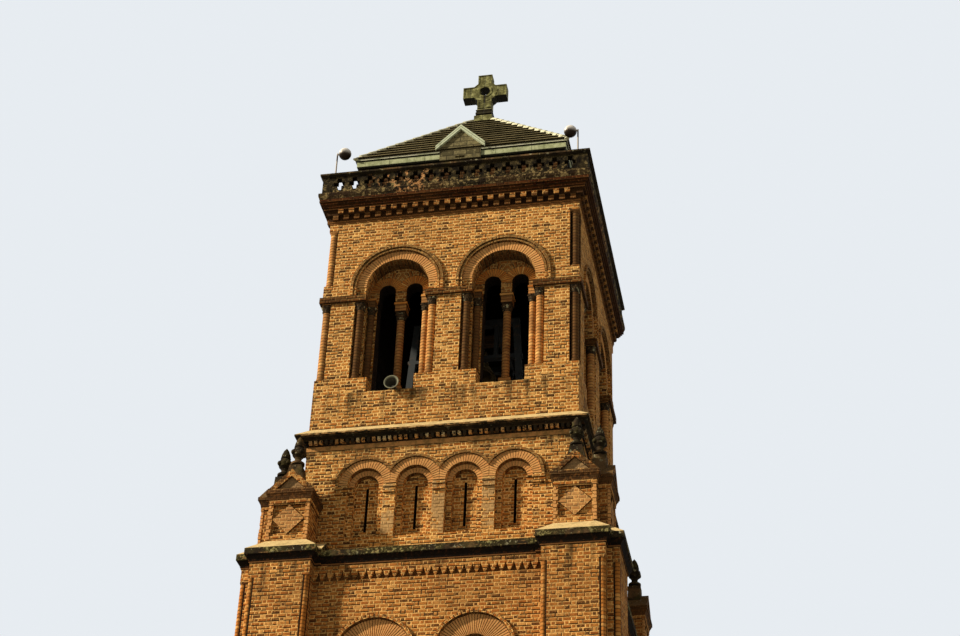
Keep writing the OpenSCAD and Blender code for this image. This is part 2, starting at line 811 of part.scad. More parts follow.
// Copper cross with a round hub in its corners, on a projecting collar and a square pedestal
module cross() {
    z_foot = z_roof_top + pedestal_h;
    z_centre = z_foot + 236 + cross_arm + cross_bar / 2;
    half = cross_bar / 2;
    span = half + cross_arm;
    collar = 38;
    collar_h = 44;
    z_collar = z_foot + 70;
    ped = [[0, z_roof_top], [0, z_roof_top + 34], [-30, z_roof_top + 48], [-30, z_foot], [-52, z_foot + 10]];
    color("darkseagreen") {
        moulded_block(roof_top_half + 20, ped);
        translate([0, cross_depth / 2, 0]) rotate([90, 0, 0]) linear_extrude(height = cross_depth)
            difference() {
                union() {
                    translate([-half, z_foot]) square([cross_bar, z_centre + span - z_foot]);
                    translate([-span, z_centre - half]) square([2 * span, cross_bar]);
                    translate([0, z_centre]) circle(r = cross_hole_r * 2);
                }
                translate([0, z_centre]) circle(r = cross_hole_r);
            }
        translate([0, cross_depth / 2 + 14, z_centre]) rotate([90, 0, 0])
            linear_extrude(height = cross_depth + 28) difference() {
                circle(r = cross_hole_r * 1.35);
                circle(r = cross_hole_r);
            }
        translate([-half - collar / 2, -cross_depth / 2 - collar, z_collar])
            cube([cross_bar + collar, cross_depth + 2 * collar, collar_h]);
    }
}

// Floors of the portal, slit, window, arcade and bell storeys
module floors() {
    color("gray") {
        translate([-shaft_half, -shaft_half, 0]) cube([shaft_w, shaft_w, threshold_h]);
        for (z = [z_string, z_mid_floor, z_arcade, z_belfry])
            translate([-shaft_half, -shaft_half, z - floor_t]) cube([shaft_w, shaft_w, floor_t]);
    }
}

// Two floodlights on posts at the front of the coping, tilted up towards the roof
module floodlights() {
    z_top = z_coping + coping_h;
    post_r = 13;
    head_r = 108;
    head_x = -130;
    head_z = 520;
    back = [[0, -86], [34, -82], [66, -68], [90, -46], [104, -18], [head_r, 0], [head_r, 22],
        [head_r - 10, 22], [head_r - 10, 12], [0, 12]];
    color("silver") both_hands() translate([tower_half - 20, -tower_half - 60, z_top]) {
        cylinder(r = 30, h = 14);
        cylinder(r = post_r, h = head_z + 20);
        translate([head_x + head_r - 20, -8, head_z - 14]) cube([-head_x - head_r + 20, 16, 28]);
        translate([head_x, 0, head_z]) rotate([-65, 0, 0]) rotate_extrude() polygon(back);
    }
}

// Horn loudspeaker on the sill of the front left window
module horn_loudspeaker() {
    prof = [[0, 0], [48, 0], [48, 110], [30, 120], [40, 190], [70, 260], [118, 320], [118, 332],
        [106, 332], [60, 262], [24, 190], [0, 186]];
    color("gainsboro") translate([56 - win_x, -tower_half + 210, z_sill + 66]) {
        rotate([90, 0, 0]) rotate_extrude() polygon(prof);
        translate([-22, -90, -66]) cube([44, 70, 30]);
    }
}

// Steel frame that carries the bell, standing on the belfry floor
module bell_frame() {
    beam = 110;
    z_top = z_frame_top;
    leg_top = 900;
    leg_foot = 1080;
    y_leg = 700;
    x_cross = 510;
    color("dimgray") {
        for (s = [-1, 1]) {
            translate([0, s * y_leg, 0]) upright(-beam / 2, beam / 2) {
                for (m = [0, 1])
                    mirror([m, 0]) polygon([[leg_top - beam, z_top - beam], [leg_top, z_top - beam],
                        [leg_foot, z_belfry], [leg_foot - beam, z_belfry]]);
                translate([-leg_top, z_top - beam]) square([2 * leg_top, beam]);
                translate([-leg_top - 60, z_belfry + 2230]) square([2 * leg_top + 120, 60]);
                for (m = [-1, 1])
                    translate([m * x_cross - 30, z_belfry + 2280]) square([60, z_top - z_belfry - 2370]);
            }
        }
        for (s = [-1, 1])
            translate([s * x_cross - beam / 2, -y_leg, z_top - beam]) cube([beam, 2 * y_leg, beam]);
    }
}

// Timber headstock with iron gudgeons that rests on the cross beams
module headstock() {
    color("saddlebrown") translate([-600, -70, z_frame_top]) cube([1200, 140, 170]);
}

// Bronze bell hung from the headstock
module bell() {
    z_lip = z_frame_top - 60 - bell_h;
    t = 28;
    prof = concat([[bell_r - t * 1.6, 0], [bell_r, 0]],
        [for (i = [1 : 6]) [bell_r * (1 - 0.42 * pow(sin(15 * i), 0.8)), bell_h * 0.14 * i]],
        [[bell_r * 0.42, bell_h * 0.93], [bell_r * 0.2, bell_h], [0, bell_h], [0, bell_h - t * 1.4],
        [bell_r * 0.34, bell_h * 0.88]],
        [for (i = [5 : -1 : 1]) [bell_r * (1 - 0.42 * pow(sin(15 * i), 0.8)) - t, bell_h * 0.14 * i]]);
    color("darkgoldenrod") translate([0, 0, z_lip]) {
        rotate_extrude() polygon(prof);
        translate([0, 0, bell_h - 8]) cylinder(r = 62, h = 68);
    }
}

plinth();
ground_wall_front();
rotate([0, 0, 180]) ground_wall_side();  // ground_wall_back
rotate([0, 0, 270]) ground_wall_side();  // ground_wall_left
rotate([0, 0, 90]) ground_wall_side();  // ground_wall_right
door_leaves();
string_course();
middle_wall_side();  // middle_wall_front
rotate([0, 0, 180]) middle_wall_side();  // middle_wall_back
rotate([0, 0, 270]) middle_wall_side();  // middle_wall_left
rotate([0, 0, 90]) middle_wall_side();  // middle_wall_right
corner_piers();
zigzag_band();
lower_cornice();
arcade_wall(tower_half);  // arcade_wall_front
rotate([0, 0, 180]) arcade_wall(tower_half);  // arcade_wall_back
rotate([0, 0, 270]) arcade_wall(shaft_half);  // arcade_wall_left
rotate([0, 0, 90]) arcade_wall(shaft_half);  // arcade_wall_right
pinnacles();
finials();
belfry_ledge();
belfry_wall(tower_half);  // belfry_wall_front
rotate([0, 0, 180]) belfry_wall(tower_half);  // belfry_wall_back
rotate([0, 0, 270]) belfry_wall(shaft_half);  // belfry_wall_left
rotate([0, 0, 90]) belfry_wall(shaft_half);  // belfry_wall_right
impost_string();
colonnettes();
main_cornice();
cornice_dentils();
balustrade_panels();
balustrade_corners();
balustrade_coping();
attic_wall();
dormers();
roof();
roof_hips();
eaves_gutter();
cross();
floors();
floodlights();
horn_loudspeaker();
bell_frame();
headstock();
bell();
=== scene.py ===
"""Finishes and fine pieces of a brick bell tower: bricks, arch fans, roof tiles, copper work and carving."""
import math

import bmesh
import bpy
import numpy as np
from bpy.props import FloatProperty, FloatVectorProperty, IntProperty, PointerProperty
from mathutils import Matrix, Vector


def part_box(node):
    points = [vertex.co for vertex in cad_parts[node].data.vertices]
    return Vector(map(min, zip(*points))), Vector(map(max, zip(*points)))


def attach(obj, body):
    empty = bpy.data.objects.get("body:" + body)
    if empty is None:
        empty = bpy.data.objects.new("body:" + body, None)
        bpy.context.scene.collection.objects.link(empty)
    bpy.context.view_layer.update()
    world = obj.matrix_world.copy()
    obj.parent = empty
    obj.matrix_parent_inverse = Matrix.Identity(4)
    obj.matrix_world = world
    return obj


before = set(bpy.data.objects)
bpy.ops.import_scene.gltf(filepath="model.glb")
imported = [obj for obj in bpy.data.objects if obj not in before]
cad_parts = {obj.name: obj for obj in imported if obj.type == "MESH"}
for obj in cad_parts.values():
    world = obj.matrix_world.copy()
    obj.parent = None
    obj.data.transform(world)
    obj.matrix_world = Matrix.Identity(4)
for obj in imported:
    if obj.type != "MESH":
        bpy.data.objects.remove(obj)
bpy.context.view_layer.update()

bl_info = {
    "name": "Bell tower",
    "version": (1, 0, 0),
    "blender": (4, 5, 0),
    "location": "3D View > Sidebar > Tower",
    "description": "Lays the bricks, tiles, copper and carving on the solids of a brick bell tower",
    "category": "Object",
}

# Faces and levels of the tower, in metres, read from its solids
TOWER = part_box("impost_string")[1].x - 0.040
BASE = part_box("middle_wall_back")[1].y - 0.040
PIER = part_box("corner_piers")[1].x
PIER_X = PIER - 0.628
PINNACLE = PIER - 0.150
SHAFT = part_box("floors")[1].x
Z_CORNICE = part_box("lower_cornice")[0].z
Z_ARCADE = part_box("arcade_wall_front")[0].z
Z_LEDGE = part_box("belfry_ledge")[0].z
Z_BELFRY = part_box("belfry_wall_front")[0].z
Z_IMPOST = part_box("impost_string")[0].z
Z_IMPOST_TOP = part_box("impost_string")[1].z
Z_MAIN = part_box("main_cornice")[0].z
Z_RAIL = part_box("balustrade_panels")[0].z
Z_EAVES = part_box("roof")[0].z
Z_ROOF_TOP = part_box("roof")[1].z
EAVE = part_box("roof")[1].x
ROOF_HEAD = 0.180

# Places of the arches on each side
WIN_X = 0.874
WIN_SPRING = Z_IMPOST_TOP + 0.188
LIGHT_X = 0.227
LIGHT_SPRING = WIN_SPRING + 0.062
LIGHT_FOOT = Z_IMPOST_TOP + 0.050
BAY = 0.755
BAY_SPRING = Z_ARCADE + 1.355
MID_X = 0.710
MID_SPRING = Z_CORNICE - 1.430
PORTAL_SPRING = 2.000

# Shafts of a belfry window: distance from its middle and from the wall's face
OUTER_X, OUTER_Y = 0.594, 0.075
INNER_X, INNER_Y = 0.448, 0.225
MIDDLE_Y = 0.420

# Radii of the rings round each arch: inner and outer edge of its bricks, then of the hood or fan round them
WIN_RINGS = (0.513, 0.673, 0.775)
LIGHT_RINGS = (0.137, 0.270, 0.400)
BAY_RINGS = (0.191, 0.281, 0.422)
MID_RINGS = (0.255, 0.555, 0.610)
PORTAL_RINGS = (0.730, 0.940)

HEADER_START = 0.667  # place of the joint between stretcher and header, along the pair
# Near-black painted shade for faces that look down
UNDERSIDE_SHADE = (0.022, 0.011, 0.004)


# Sizes and colours that a user may set

def length(name, text, value, low=0.0, high=5.0):
    """A setting in metres."""
    return FloatProperty(name=name, description=text, default=value, min=low, max=high, subtype="DISTANCE")


def colour(name, text, value):
    """A setting that holds a colour."""
    return FloatVectorProperty(name=name, description=text, default=value, size=3, min=0.0, max=1.0,
                               subtype="COLOR")


class TowerBricks(bpy.types.PropertyGroup):
    """Sizes and colours of the brickwork"""
    course: length("Course", "Height of one course with its joint", 0.058, 0.02, 0.2)
    pair: length("Pair", "Length of one stretcher and one header with their joints", 0.188, 0.05, 0.5)
    joint: length("Joint", "Width of a mortar joint", 0.0155, 0.002, 0.04)
    burnt: colour("Burnt brick", "Colour of the darkest bricks", (0.085, 0.034, 0.010))
    red: colour("Red brick", "Colour of the redder bricks", (0.42, 0.135, 0.022))
    tan: colour("Tan brick", "Colour of most bricks", (0.49, 0.190, 0.036))
    pale: colour("Pale brick", "Colour of the palest bricks", (0.72, 0.375, 0.105))
    mortar: colour("Mortar", "Colour of the mortar", (0.95, 0.560, 0.180))
    # Colour of open joints, which also stands for the shadow inside them
    gap: colour("Open joint", "Colour of a joint that has lost its mortar", (0.032, 0.014, 0.006))


class TowerStone(bpy.types.PropertyGroup):
    """Colours of the mouldings and the balustrade"""
    dark: colour("Dark stone", "Colour of dirty moulded stone", (0.022, 0.015, 0.008))
    warm: colour("Warm stone", "Colour of cleaner moulded stone", (0.150, 0.085, 0.035))
    moss: colour("Moss", "Colour of moss on the mouldings", (0.070, 0.056, 0.016))
    lichen: colour("Lichen", "Colour of lichen spots", (0.40, 0.36, 0.20))
    bed: colour("Mortar bed", "Colour of the sloping mortar on the ledges", (0.62, 0.44, 0.19))


class TowerRoof(bpy.types.PropertyGroup):
    """Sizes and colours of the roof"""
    courses: IntProperty(name="Tile courses", description="Courses of tiles on one slope", default=13,
                         min=6, max=40)
    tile: length("Tile width", "Width of one roof tile", 0.105, 0.04, 0.3)
    tile_dark: colour("Dark tile", "Colour of mossy tiles", (0.100, 0.080, 0.034))
    tile_pale: colour("Pale tile", "Colour of clean tiles", (0.29, 0.230, 0.105))
    copper: colour("Copper", "Colour of the weathered copper", (0.46, 0.47, 0.26))
    bloom: colour("Copper bloom", "Colour of the palest copper edges", (0.66, 0.62, 0.42))
    stain: colour("Copper stain", "Colour of the stains on the copper", (0.075, 0.075, 0.034))


class TowerStage(bpy.types.PropertyGroup):
    """Light and ground of the studio"""
    key: FloatProperty(name="Key light", description="Strength of the main light", default=6.4,
                       min=0.0, max=20.0)
    fill: FloatProperty(name="Fill light", description="Strength of the light from all round", default=0.24,
                        min=0.0, max=5.0)
    backdrop: colour("Backdrop", "Colour of the pale background", (0.80, 0.84, 0.88))
    ground: colour("Floor", "Colour of the floor", (0.46, 0.46, 0.45))


# Meshes

def places(x, y, z):
    """Points from coordinates of matching shapes."""
    return np.stack(np.broadcast_arrays(x, y, z), axis=-1)


def on_sides(points):
    """Repeats points of the front on the four sides: quarter turns of x and y about the axis."""
    cos = np.array([1.0, 0.0, -1.0, 0.0]).reshape((4,) + (1,) * (points.ndim - 1))
    sin = np.array([0.0, 1.0, 0.0, -1.0]).reshape((4,) + (1,) * (points.ndim - 1))
    x, y, z = points[..., 0], points[..., 1], points[..., 2]
    return places(cos * x - sin * y, sin * x + cos * y, z).reshape((-1,) + points.shape[1:])


def both_hands(points):
    """Adds the mirror image of the points across the centre of the front: x becomes minus x."""
    return np.concatenate([points, points * np.array([-1.0, 1.0, 1.0])], axis=0)


def block_faces(count):
    """Six quads for each block of eight corners, numbered 4i + 2j + k for the low or high end of a way."""
    one = np.array([[0, 1, 3, 2], [4, 6, 7, 5], [0, 4, 5, 1], [2, 3, 7, 6], [0, 2, 6, 4], [1, 5, 7, 3]])
    return (one[None] + 8 * np.arange(count)[:, None, None]).reshape(-1, 4)


def sheet_faces(grid):
    """Quads between neighbours of copies of a grid of rows and columns whose last column joins the first."""
    copies, rows, cols = grid.shape[:3]
    i, j = np.meshgrid(np.arange(rows - 1), np.arange(cols), indexing="ij")
    after = (j + 1) % cols
    quad = np.stack([i * cols + j, i * cols + after, (i + 1) * cols + after, (i + 1) * cols + j], axis=-1)
    return (quad.reshape(-1, 4)[None] + rows * cols * np.arange(copies)[:, None, None]).reshape(-1, 4)


def add_piece(name, points, faces, finish, tone=None, smooth=False):
    """Makes one mesh from corner points and quads, with an optional tone for each point."""
    mesh = bpy.data.meshes.new(name)
    mesh.from_pydata(points.reshape(-1, 3).tolist(), [], faces.tolist())
    if tone is not None:
        layer = mesh.attributes.new("tone", "FLOAT", "POINT")
        layer.data.foreach_set("value", np.ascontiguousarray(tone, dtype=np.float32).ravel())
    work = bmesh.new()
    work.from_mesh(mesh)
    bmesh.ops.remove_doubles(work, verts=work.verts, dist=1e-5)
    bmesh.ops.recalc_face_normals(work, faces=work.faces)
    work.to_mesh(mesh)
    work.free()
    if smooth:
        mesh.shade_smooth()
    piece = bpy.data.objects.new(name, mesh)
    bpy.context.collection.objects.link(piece)
    mesh.materials.append(finish)
    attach(piece, "root")


def add_blocks(name, blocks, finish, rng):
    """Makes one mesh of loose blocks, each with a tone of its own."""
    tone = np.repeat(rng.uniform(0.0, 1.0, len(blocks)), 8)
    add_piece(name, blocks, block_faces(len(blocks)), finish, tone)


def box_blocks(low, high):
    """Upright blocks of eight corners: each corner takes the low or the high end of each axis."""
    low, high = np.atleast_2d(low), np.atleast_2d(high)
    pick = np.array([[i, j, k] for i in (0, 1) for j in (0, 1) for k in (0, 1)])
    return low[:, None, :] + (high - low)[:, None, :] * pick[None]


def fan_blocks(rng, face, at, spring, r_in, r_out, count, back, front, low=-9.0, high=9.0):
    """Wedges of a half round arch on the front: x = at + r sin a, z = spring + r cos a.

    r runs from the inner to the outer radius and a over the half circle, less a joint between wedges. Their
    back and front are measured inward from the face. They are cut off at the low and high x, where the next
    arch begins.
    """
    joint, uneven, ragged = 0.012, 0.005, 0.008
    step = math.pi / count
    middle = -math.pi / 2 + step * (np.arange(count) + 0.5)
    proud = front - face - rng.uniform(0.0, uneven, count)
    outer = r_out - rng.uniform(0.0, ragged, count)
    radius = np.stack([np.full(count, r_in), outer], axis=-1)[:, :, None, None]
    turn = np.array([-1.0, 1.0])[None, None, :, None]
    angle = middle[:, None, None, None] + turn * (step / 2 - joint / 2 / radius)
    depth = np.stack([np.full(count, back - face), proud], axis=-1)[:, None, None, :]
    x = np.clip(at + radius * np.sin(angle), low, high)
    return places(x, depth, spring + radius * np.cos(angle)).reshape(count, 8, 3)


def lathe(profile, centres, sides, lobes=None):
    """Turns a profile of radius and height about upright axes: x = cx + r cos a, y = cy + r sin a.

    lobes gives a factor for the radius from the place along the profile, 0 to 1, and the angle.
    """
    profile = np.asarray(profile, float)
    angle = np.arange(sides) * 2 * math.pi / sides
    radius = profile[:, 0:1] * np.ones(sides)
    if lobes is not None:
        radius = radius * lobes(np.linspace(0, 1, len(profile))[:, None], angle[None, :])
    grid = places(radius * np.cos(angle), radius * np.sin(angle), profile[:, 1:2])
    centres = np.atleast_2d(np.asarray(centres, float))
    return grid[None] + centres[:, None, None, :]


# Nodes of the materials

def joined(operation, swap=False):
    """A method that adds one Math node for two values, with the second one first when they are swapped."""
    def method(self, other):
        return self.finish.math(operation, *((other, self) if swap else (self, other)))
    return method


class Wire:
    """One socket; arithmetic on it adds Math nodes, | takes the larger and & the smaller value."""

    def __init__(self, finish, socket):
        self.finish = finish
        self.socket = socket

    __add__ = __radd__ = joined("ADD")
    __sub__, __rsub__ = joined("SUBTRACT"), joined("SUBTRACT", swap=True)
    __mul__ = __rmul__ = joined("MULTIPLY")
    __truediv__, __rtruediv__ = joined("DIVIDE"), joined("DIVIDE", swap=True)
    __mod__ = joined("FLOORED_MODULO")
    __gt__, __lt__ = joined("GREATER_THAN"), joined("LESS_THAN")
    __or__, __and__ = joined("MAXIMUM"), joined("MINIMUM")

    def __abs__(self):
        return self.finish.math("ABSOLUTE", self)

    def __neg__(self):
        return self * -1.0


class Nodes:
    """Adds nodes to the tree of a material or a world."""

    def __init__(self, owner):
        owner.use_nodes = True
        self.tree = owner.node_tree
        self.tree.nodes.clear()

    def feed(self, socket, value):
        """Links a wire to a socket or sets its value; a colour without alpha is made opaque."""
        if isinstance(value, Wire):
            self.tree.links.new(value.socket, socket)
        elif hasattr(value, "__len__"):
            value = tuple(value)
            opaque = (1.0,) if socket.type == "RGBA" and len(value) == 3 else ()
            socket.default_value = value + opaque
        else:
            socket.default_value = value

    def node(self, kind, settings=None, inputs=None, output=0):
        """Adds a node: first its settings, a ramp's stops among them, then what its sockets take."""
        made = self.tree.nodes.new("ShaderNode" + kind)
        for key, value in (settings or {}).items():
            if key == "stops":
                self.set_stops(made.color_ramp.elements, value)
            else:
                setattr(made, key, value)
        for key, value in (inputs or {}).items():
            self.feed(made.inputs[key], value)
        return Wire(self, made.outputs[output]) if made.outputs else None

    def set_stops(self, elements, stops):
        """Gives a ramp its places and colours."""
        while len(elements) < len(stops):
            elements.new(0.5)
        for element, (at, shade) in zip(elements, stops):
            element.position = at
            element.color = tuple(shade) + (1.0,)

    def math(self, operation, a, b=0.0):
        """One Math node on one or two values."""
        return self.node("Math", {"operation": operation}, {0: a, 1: b})


class Finish(Nodes):
    """Builds one material of nodes that end in a Principled shader, with a tone that shades are laid on.

    Its sockets say where a point lies: here, x, y and z; near and far, the smaller and the larger of x and y
    without their sign; across and rise, the run across and up its own face; up, how far it looks up; and
    side, 1 on the left and right faces and 0 on the front and back.
    """

    def __init__(self, name, roughness=0.85, metallic=0.0, shine=0.05):
        self.material = bpy.data.materials.new(name)
        super().__init__(self.material)
        scene = bpy.context.scene
        self.bricks, self.stone, self.roof = scene.tower_bricks, scene.tower_stone, scene.tower_roof
        values = {"Roughness": roughness, "Metallic": metallic, "Specular IOR Level": shine}
        shader = self.node("BsdfPrincipled", None, values)
        self.node("OutputMaterial", None, {0: shader})
        self.shader = shader.socket.node
        self.here = self.node("TexCoord", output="Object")
        self.x, self.y, self.z = self.split(self.here)
        nx, ny, self.up = self.split(self.node("NewGeometry", output="True Normal"))
        self.near, self.far = abs(self.x) & abs(self.y), abs(self.x) | abs(self.y)
        self.side = abs(nx) > abs(ny)
        self.across = self.pick(self.side, self.x, self.y)
        self.rise = self.pick(abs(self.up) > 0.8, self.z, self.pick(self.side, self.y, self.x))

    def smooth(self, value, low, high):
        """Rises smoothly from 0 at low to 1 at high."""
        ends = {0: value, 1: low, 2: high, 3: 0.0, 4: 1.0}
        return self.node("MapRange", {"interpolation_type": "SMOOTHSTEP"}, ends)

    def between(self, value, low, high):
        """1 where the value lies between low and high."""
        return (value > low) * (value < high)

    def band(self, low, high, base=0.0):
        """1 between two heights over a base."""
        return self.between(self.z, base + low, base + high)

    def pick(self, mask, a, b):
        """Value a where the mask is 0 and b where it is 1."""
        return a + (b - a) * mask

    def mix(self, factor, a, b, mode="MIX"):
        """Colour a where the factor is 0 and b where it is 1."""
        settings = {"data_type": "RGBA", "blend_type": mode}
        return self.node("Mix", settings, {0: factor, 6: a, 7: b}, output=2)

    def lay(self, mask, shade, mode="MIX"):
        """Lays a shade on the tone so far where the mask is 1."""
        self.tone = self.mix(mask, self.tone, shade, mode)

    def stain(self, value, low, high, amount, shade):
        """Lays some of a shade on the tone where the value rises from low to high."""
        self.lay(self.smooth(value, low, high) * amount, shade)

    def under(self, shade, amount=0.8, low=0.3, high=0.8):
        """Lays a darker colour on what looks down: painted shade under things."""
        self.stain(-self.up, low, high, amount, shade)

    def ramp(self, value, stops):
        """Colour from a list of places and colours along the value."""
        return self.node("ValToRGB", {"stops": stops}, {0: value})

    def split(self, vector):
        """The three parts of a vector."""
        parts = self.node("SeparateXYZ", None, {0: vector}).socket.node.outputs
        return [Wire(self, parts[i]) for i in range(3)]

    def vector(self, x, y, z=0.0):
        """A vector from its three parts."""
        return self.node("CombineXYZ", None, {0: x, 1: y, 2: z})

    def noise(self, scale, detail=3.0, rough=0.55, over=None):
        """Noise over the place of the point, or over another vector."""
        values = {"Vector": self.here if over is None else over}
        values.update({"Scale": scale, "Detail": detail, "Roughness": rough})
        return self.node("TexNoise", None, values)

    def dice(self, a, b, c):
        """A random number for each whole value of three sockets."""
        return self.node("TexWhiteNoise", {"noise_dimensions": "3D"}, {"Vector": self.vector(a, b, c)})

    def own_tone(self):
        """The tone that each loose piece carries in its mesh."""
        return self.node("Attribute", {"attribute_name": "tone"}, output=2)

    def seam(self, turns):
        """Share of a pitch from the middle between two seams, where turns counts the pitches run."""
        return abs(turns % 1.0 - 0.5)

    def bump(self, height, distance, strength=0.7):
        """Gives the surface a fine relief."""
        values = {"Height": height, "Distance": distance, "Strength": strength}
        self.feed(self.shader.inputs["Normal"], self.node("Bump", None, values))

    def paint(self, roughness=None):
        """Feeds the tone and a roughness to the shader and returns the finished material."""
        self.feed(self.shader.inputs["Base Color"], self.tone)
        if roughness is not None:
            self.feed(self.shader.inputs["Roughness"], roughness)
        return self.material


def shaded(colour, factor):
    """A colour made darker or paler by a factor."""
    return [part * factor for part in colour]


def bond(f, across, rise, length, course):
    """Courses that shift by half a length from one to the next.

    Returns the number of the course, the number of the piece in it, and how far along and up the piece.
    """
    row = f.math("FLOOR", rise / course)
    run = across / length + (row % 2.0) * 0.5
    cell = f.math("FLOOR", run)
    return row, cell, run - cell, rise / course - row


def to_edge(part):
    """Distance from the nearer end of a piece, from the place along it."""
    return part & (1.0 - part)


def brick_pattern(f, across, rise):
    """Courses that alternate a stretcher and a header.

    Returns the mask of the joints, a number for each brick, and the mask of the joints that lie open under
    some bricks and beside a few; these are painted dark, as open joints with their shadow in them.
    """
    course, pair, joint_width = f.bricks.course, f.bricks.pair, f.bricks.joint
    row, cell, along, part = bond(f, across, rise, pair, course)
    header = along > HEADER_START
    gap_x = (abs(along - HEADER_START) & to_edge(along)) * pair
    gap_z = to_edge(part) * course
    joint = 1.0 - f.smooth(gap_x & gap_z, joint_width * 0.35, joint_width * 0.75)
    number = f.dice(cell * 2.0 + header, row, f.side)
    foot = 1.0 - f.smooth(part * course, joint_width * 0.6, joint_width * 1.25)
    beside = 1.0 - f.smooth(gap_x, joint_width * 0.4, joint_width * 0.8)
    lost = foot * ((number * 17.3) % 1.0 > 0.50) | (beside * ((number * 43.7) % 1.0 > 0.80))
    return joint, number, lost


def stacked_pattern(f):
    """Round bricks one above the other: the joint between courses and a number for each brick."""
    row = f.math("FLOOR", f.z / f.bricks.course)
    part = f.z / f.bricks.course - row
    joint = 1.0 - f.smooth(to_edge(part) * f.bricks.course, 0.003, 0.010)
    return joint, f.dice(f.math("ROUND", f.x * 1.7), f.math("ROUND", f.y * 1.7), row)


def brick_tones(f, number):
    """The colour of a brick from its number: few burnt, many tan, some pale."""
    look = f.bricks
    return f.ramp(number, [(0.0, look.burnt), (0.10, look.burnt), (0.17, look.red), (0.36, look.red),
                           (0.50, look.tan), (0.84, look.tan), (1.0, look.pale)])


def ring(f, folds, spring, r_in, r_out):
    """The mask of a half ring round the nearest arch, and the distance and angle from its centre.

    Folds are the distances at which the run is folded back, one after the other, onto one arch's centre.
    """
    off = abs(f.across)
    for fold in folds:
        off = abs(off - fold)
    over = f.z - spring
    reach = f.math("SQRT", off * off + over * over)
    return f.between(reach, r_in, r_out) * (over > 0.0), reach, f.math("ARCTAN2", off, over)


def streaks(f, levels):
    """Dirt that runs down from each level: strong below it and broken into strips by a stretched noise."""
    strip = f.smooth(f.noise(1.0, 3.0, over=f.vector(f.across * 7.0, f.z * 0.7)), 0.42, 0.68)
    dirt = 0.0
    for level, reach in levels:
        dirt = dirt + f.smooth(f.z, level - reach, level) * (f.z < level)
    return strip * (dirt & 1.0)


def brick_finish(name, fans=(), bare=(), levels=(), coats=(), shade_reach=None, worn=0.42, dull_and_shade=1.0):
    """Brickwork with fans of radial bricks, mortar behind loose arch bricks, dirt streaks and painted shade
    inside.

    A fan or a bare ring is (folds, spring level, inner radius, outer radius), as ring takes them. A level is
    (height, reach), as streaks takes them. Coats are functions of the finish that lay shades on its tone.
    The shade reach is the distance from the axis within which all is painted near black, as shade inside.
    """
    f = Finish(name)
    drift = f.noise(2.3, 2.0) - 0.5
    run, rise = f.across + drift * 0.012, f.rise + drift * 0.010
    for fan in fans:
        inside, reach, angle = ring(f, *fan)
        run, rise = f.pick(inside, run, reach), f.pick(inside, rise, angle * ((fan[2] + fan[3]) / 2))
    joint, number, lost = brick_pattern(f, run, rise)
    for loose in bare:
        inside = ring(f, *loose)[0]
        joint, lost = joint | inside, lost | (inside * 0.5)
    grain = f.noise(34.0, 4.0, 0.7)
    blotch = f.noise(15.0, 3.0, 0.65)
    cloud = f.noise(0.9, 4.0, 0.6)
    brick = f.mix(f.smooth(blotch, 0.45, 0.62) * 0.55, brick_tones(f, number), shaded(f.bricks.red, 0.38))
    brick = f.mix(f.smooth(grain, 0.52, 0.68) * 0.6, brick, f.bricks.pale)
    mortar = f.mix(f.smooth(grain, 0.40, 0.64), f.bricks.mortar, shaded(f.bricks.mortar, 0.5))
    # Open joints painted dark: missing mortar with the painted shadow in it
    f.tone = f.mix(lost * 0.92, f.mix(joint, brick, mortar), f.bricks.gap)
    for coat in coats:
        coat(f)
    f.stain(cloud, 0.38, 0.72, worn, (0.15, 0.065, 0.018))
    f.stain(f.up, 0.5, 0.8, 0.55, (0.24, 0.15, 0.055))
    if levels:
        f.lay(streaks(f, levels) * 0.85, (0.040, 0.026, 0.009))
    # Darkens the whole colour: duller brick, and for the attic wall painted shade
    if dull_and_shade != 1.0:
        f.lay(1.0, (dull_and_shade, dull_and_shade * 0.92, dull_and_shade * 0.85), "MULTIPLY")
    # Painted shade on faces that look down
    f.under(UNDERSIDE_SHADE)
    # Painted shade: all nearer the axis than the shade reach is near black, for the dark inside the tower
    depth = SHAFT + 0.004 if shade_reach is None else shade_reach
    f.lay((abs(f.x) < depth) * (abs(f.y) < depth) * 0.97, (0.008, 0.005, 0.003))
    f.bump((1.0 - joint) - lost * 0.8 + grain * 0.35 + number * 0.2, 0.008, 0.9)
    return f.paint(grain * 0.2 + 0.75)


def wedge_finish(name, dirty=0.3, clean=0.65):
    """Loose arch bricks: each takes its colour from its own tone."""
    f = Finish(name)
    number = f.own_tone()
    grain = f.noise(42.0, 4.0, 0.7)
    cloud = f.noise(1.3, 3.0)
    f.tone = f.mix(clean, brick_tones(f, number * 0.75 + 0.25), (0.72, 0.370, 0.130))
    f.stain(grain, 0.48, 0.68, 0.5, shaded(f.bricks.red, 0.6))
    # Dirt; in the darker copy of the finish this is also painted shade
    f.stain(cloud, 0.4, 0.72, dirty, (0.11, 0.050, 0.016))
    # Painted shade on faces that look down
    f.under(UNDERSIDE_SHADE)
    f.bump(grain, 0.004, 0.6)
    return f.paint()


def hood_coat(shade, *place):
    """A coat for the moulded hood round an arch, gone olive brown; its place is a ring."""
    def coat(f):
        grain = f.smooth(f.noise(12.0, 4.0, 0.7), 0.35, 0.65)
        f.lay(ring(f, *place)[0] * (0.9 - grain * 0.35), shade)
    return coat


def tympanum_shade_coat(f):
    """Painted shade on the plane behind the belfry arches and on the soffit in front of it."""
    plane, soffit = TOWER - 0.20, TOWER - 0.06
    deep = (1.0 - f.smooth(f.far, plane, soffit)) * (f.z > Z_IMPOST_TOP)
    f.lay(deep * 0.50, (0.085, 0.036, 0.010))


def niche_shade_coat(f):
    """Painted shade in the niches behind the corner shafts."""
    niche, base, stop, head = 0.155, 1.130, 0.252, 0.128
    level = f.band(Z_BELFRY + base, Z_IMPOST) | f.band(Z_IMPOST_TOP + stop, Z_MAIN - head)
    f.lay((f.near > TOWER - niche) * level * 0.9, (0.020, 0.011, 0.005))


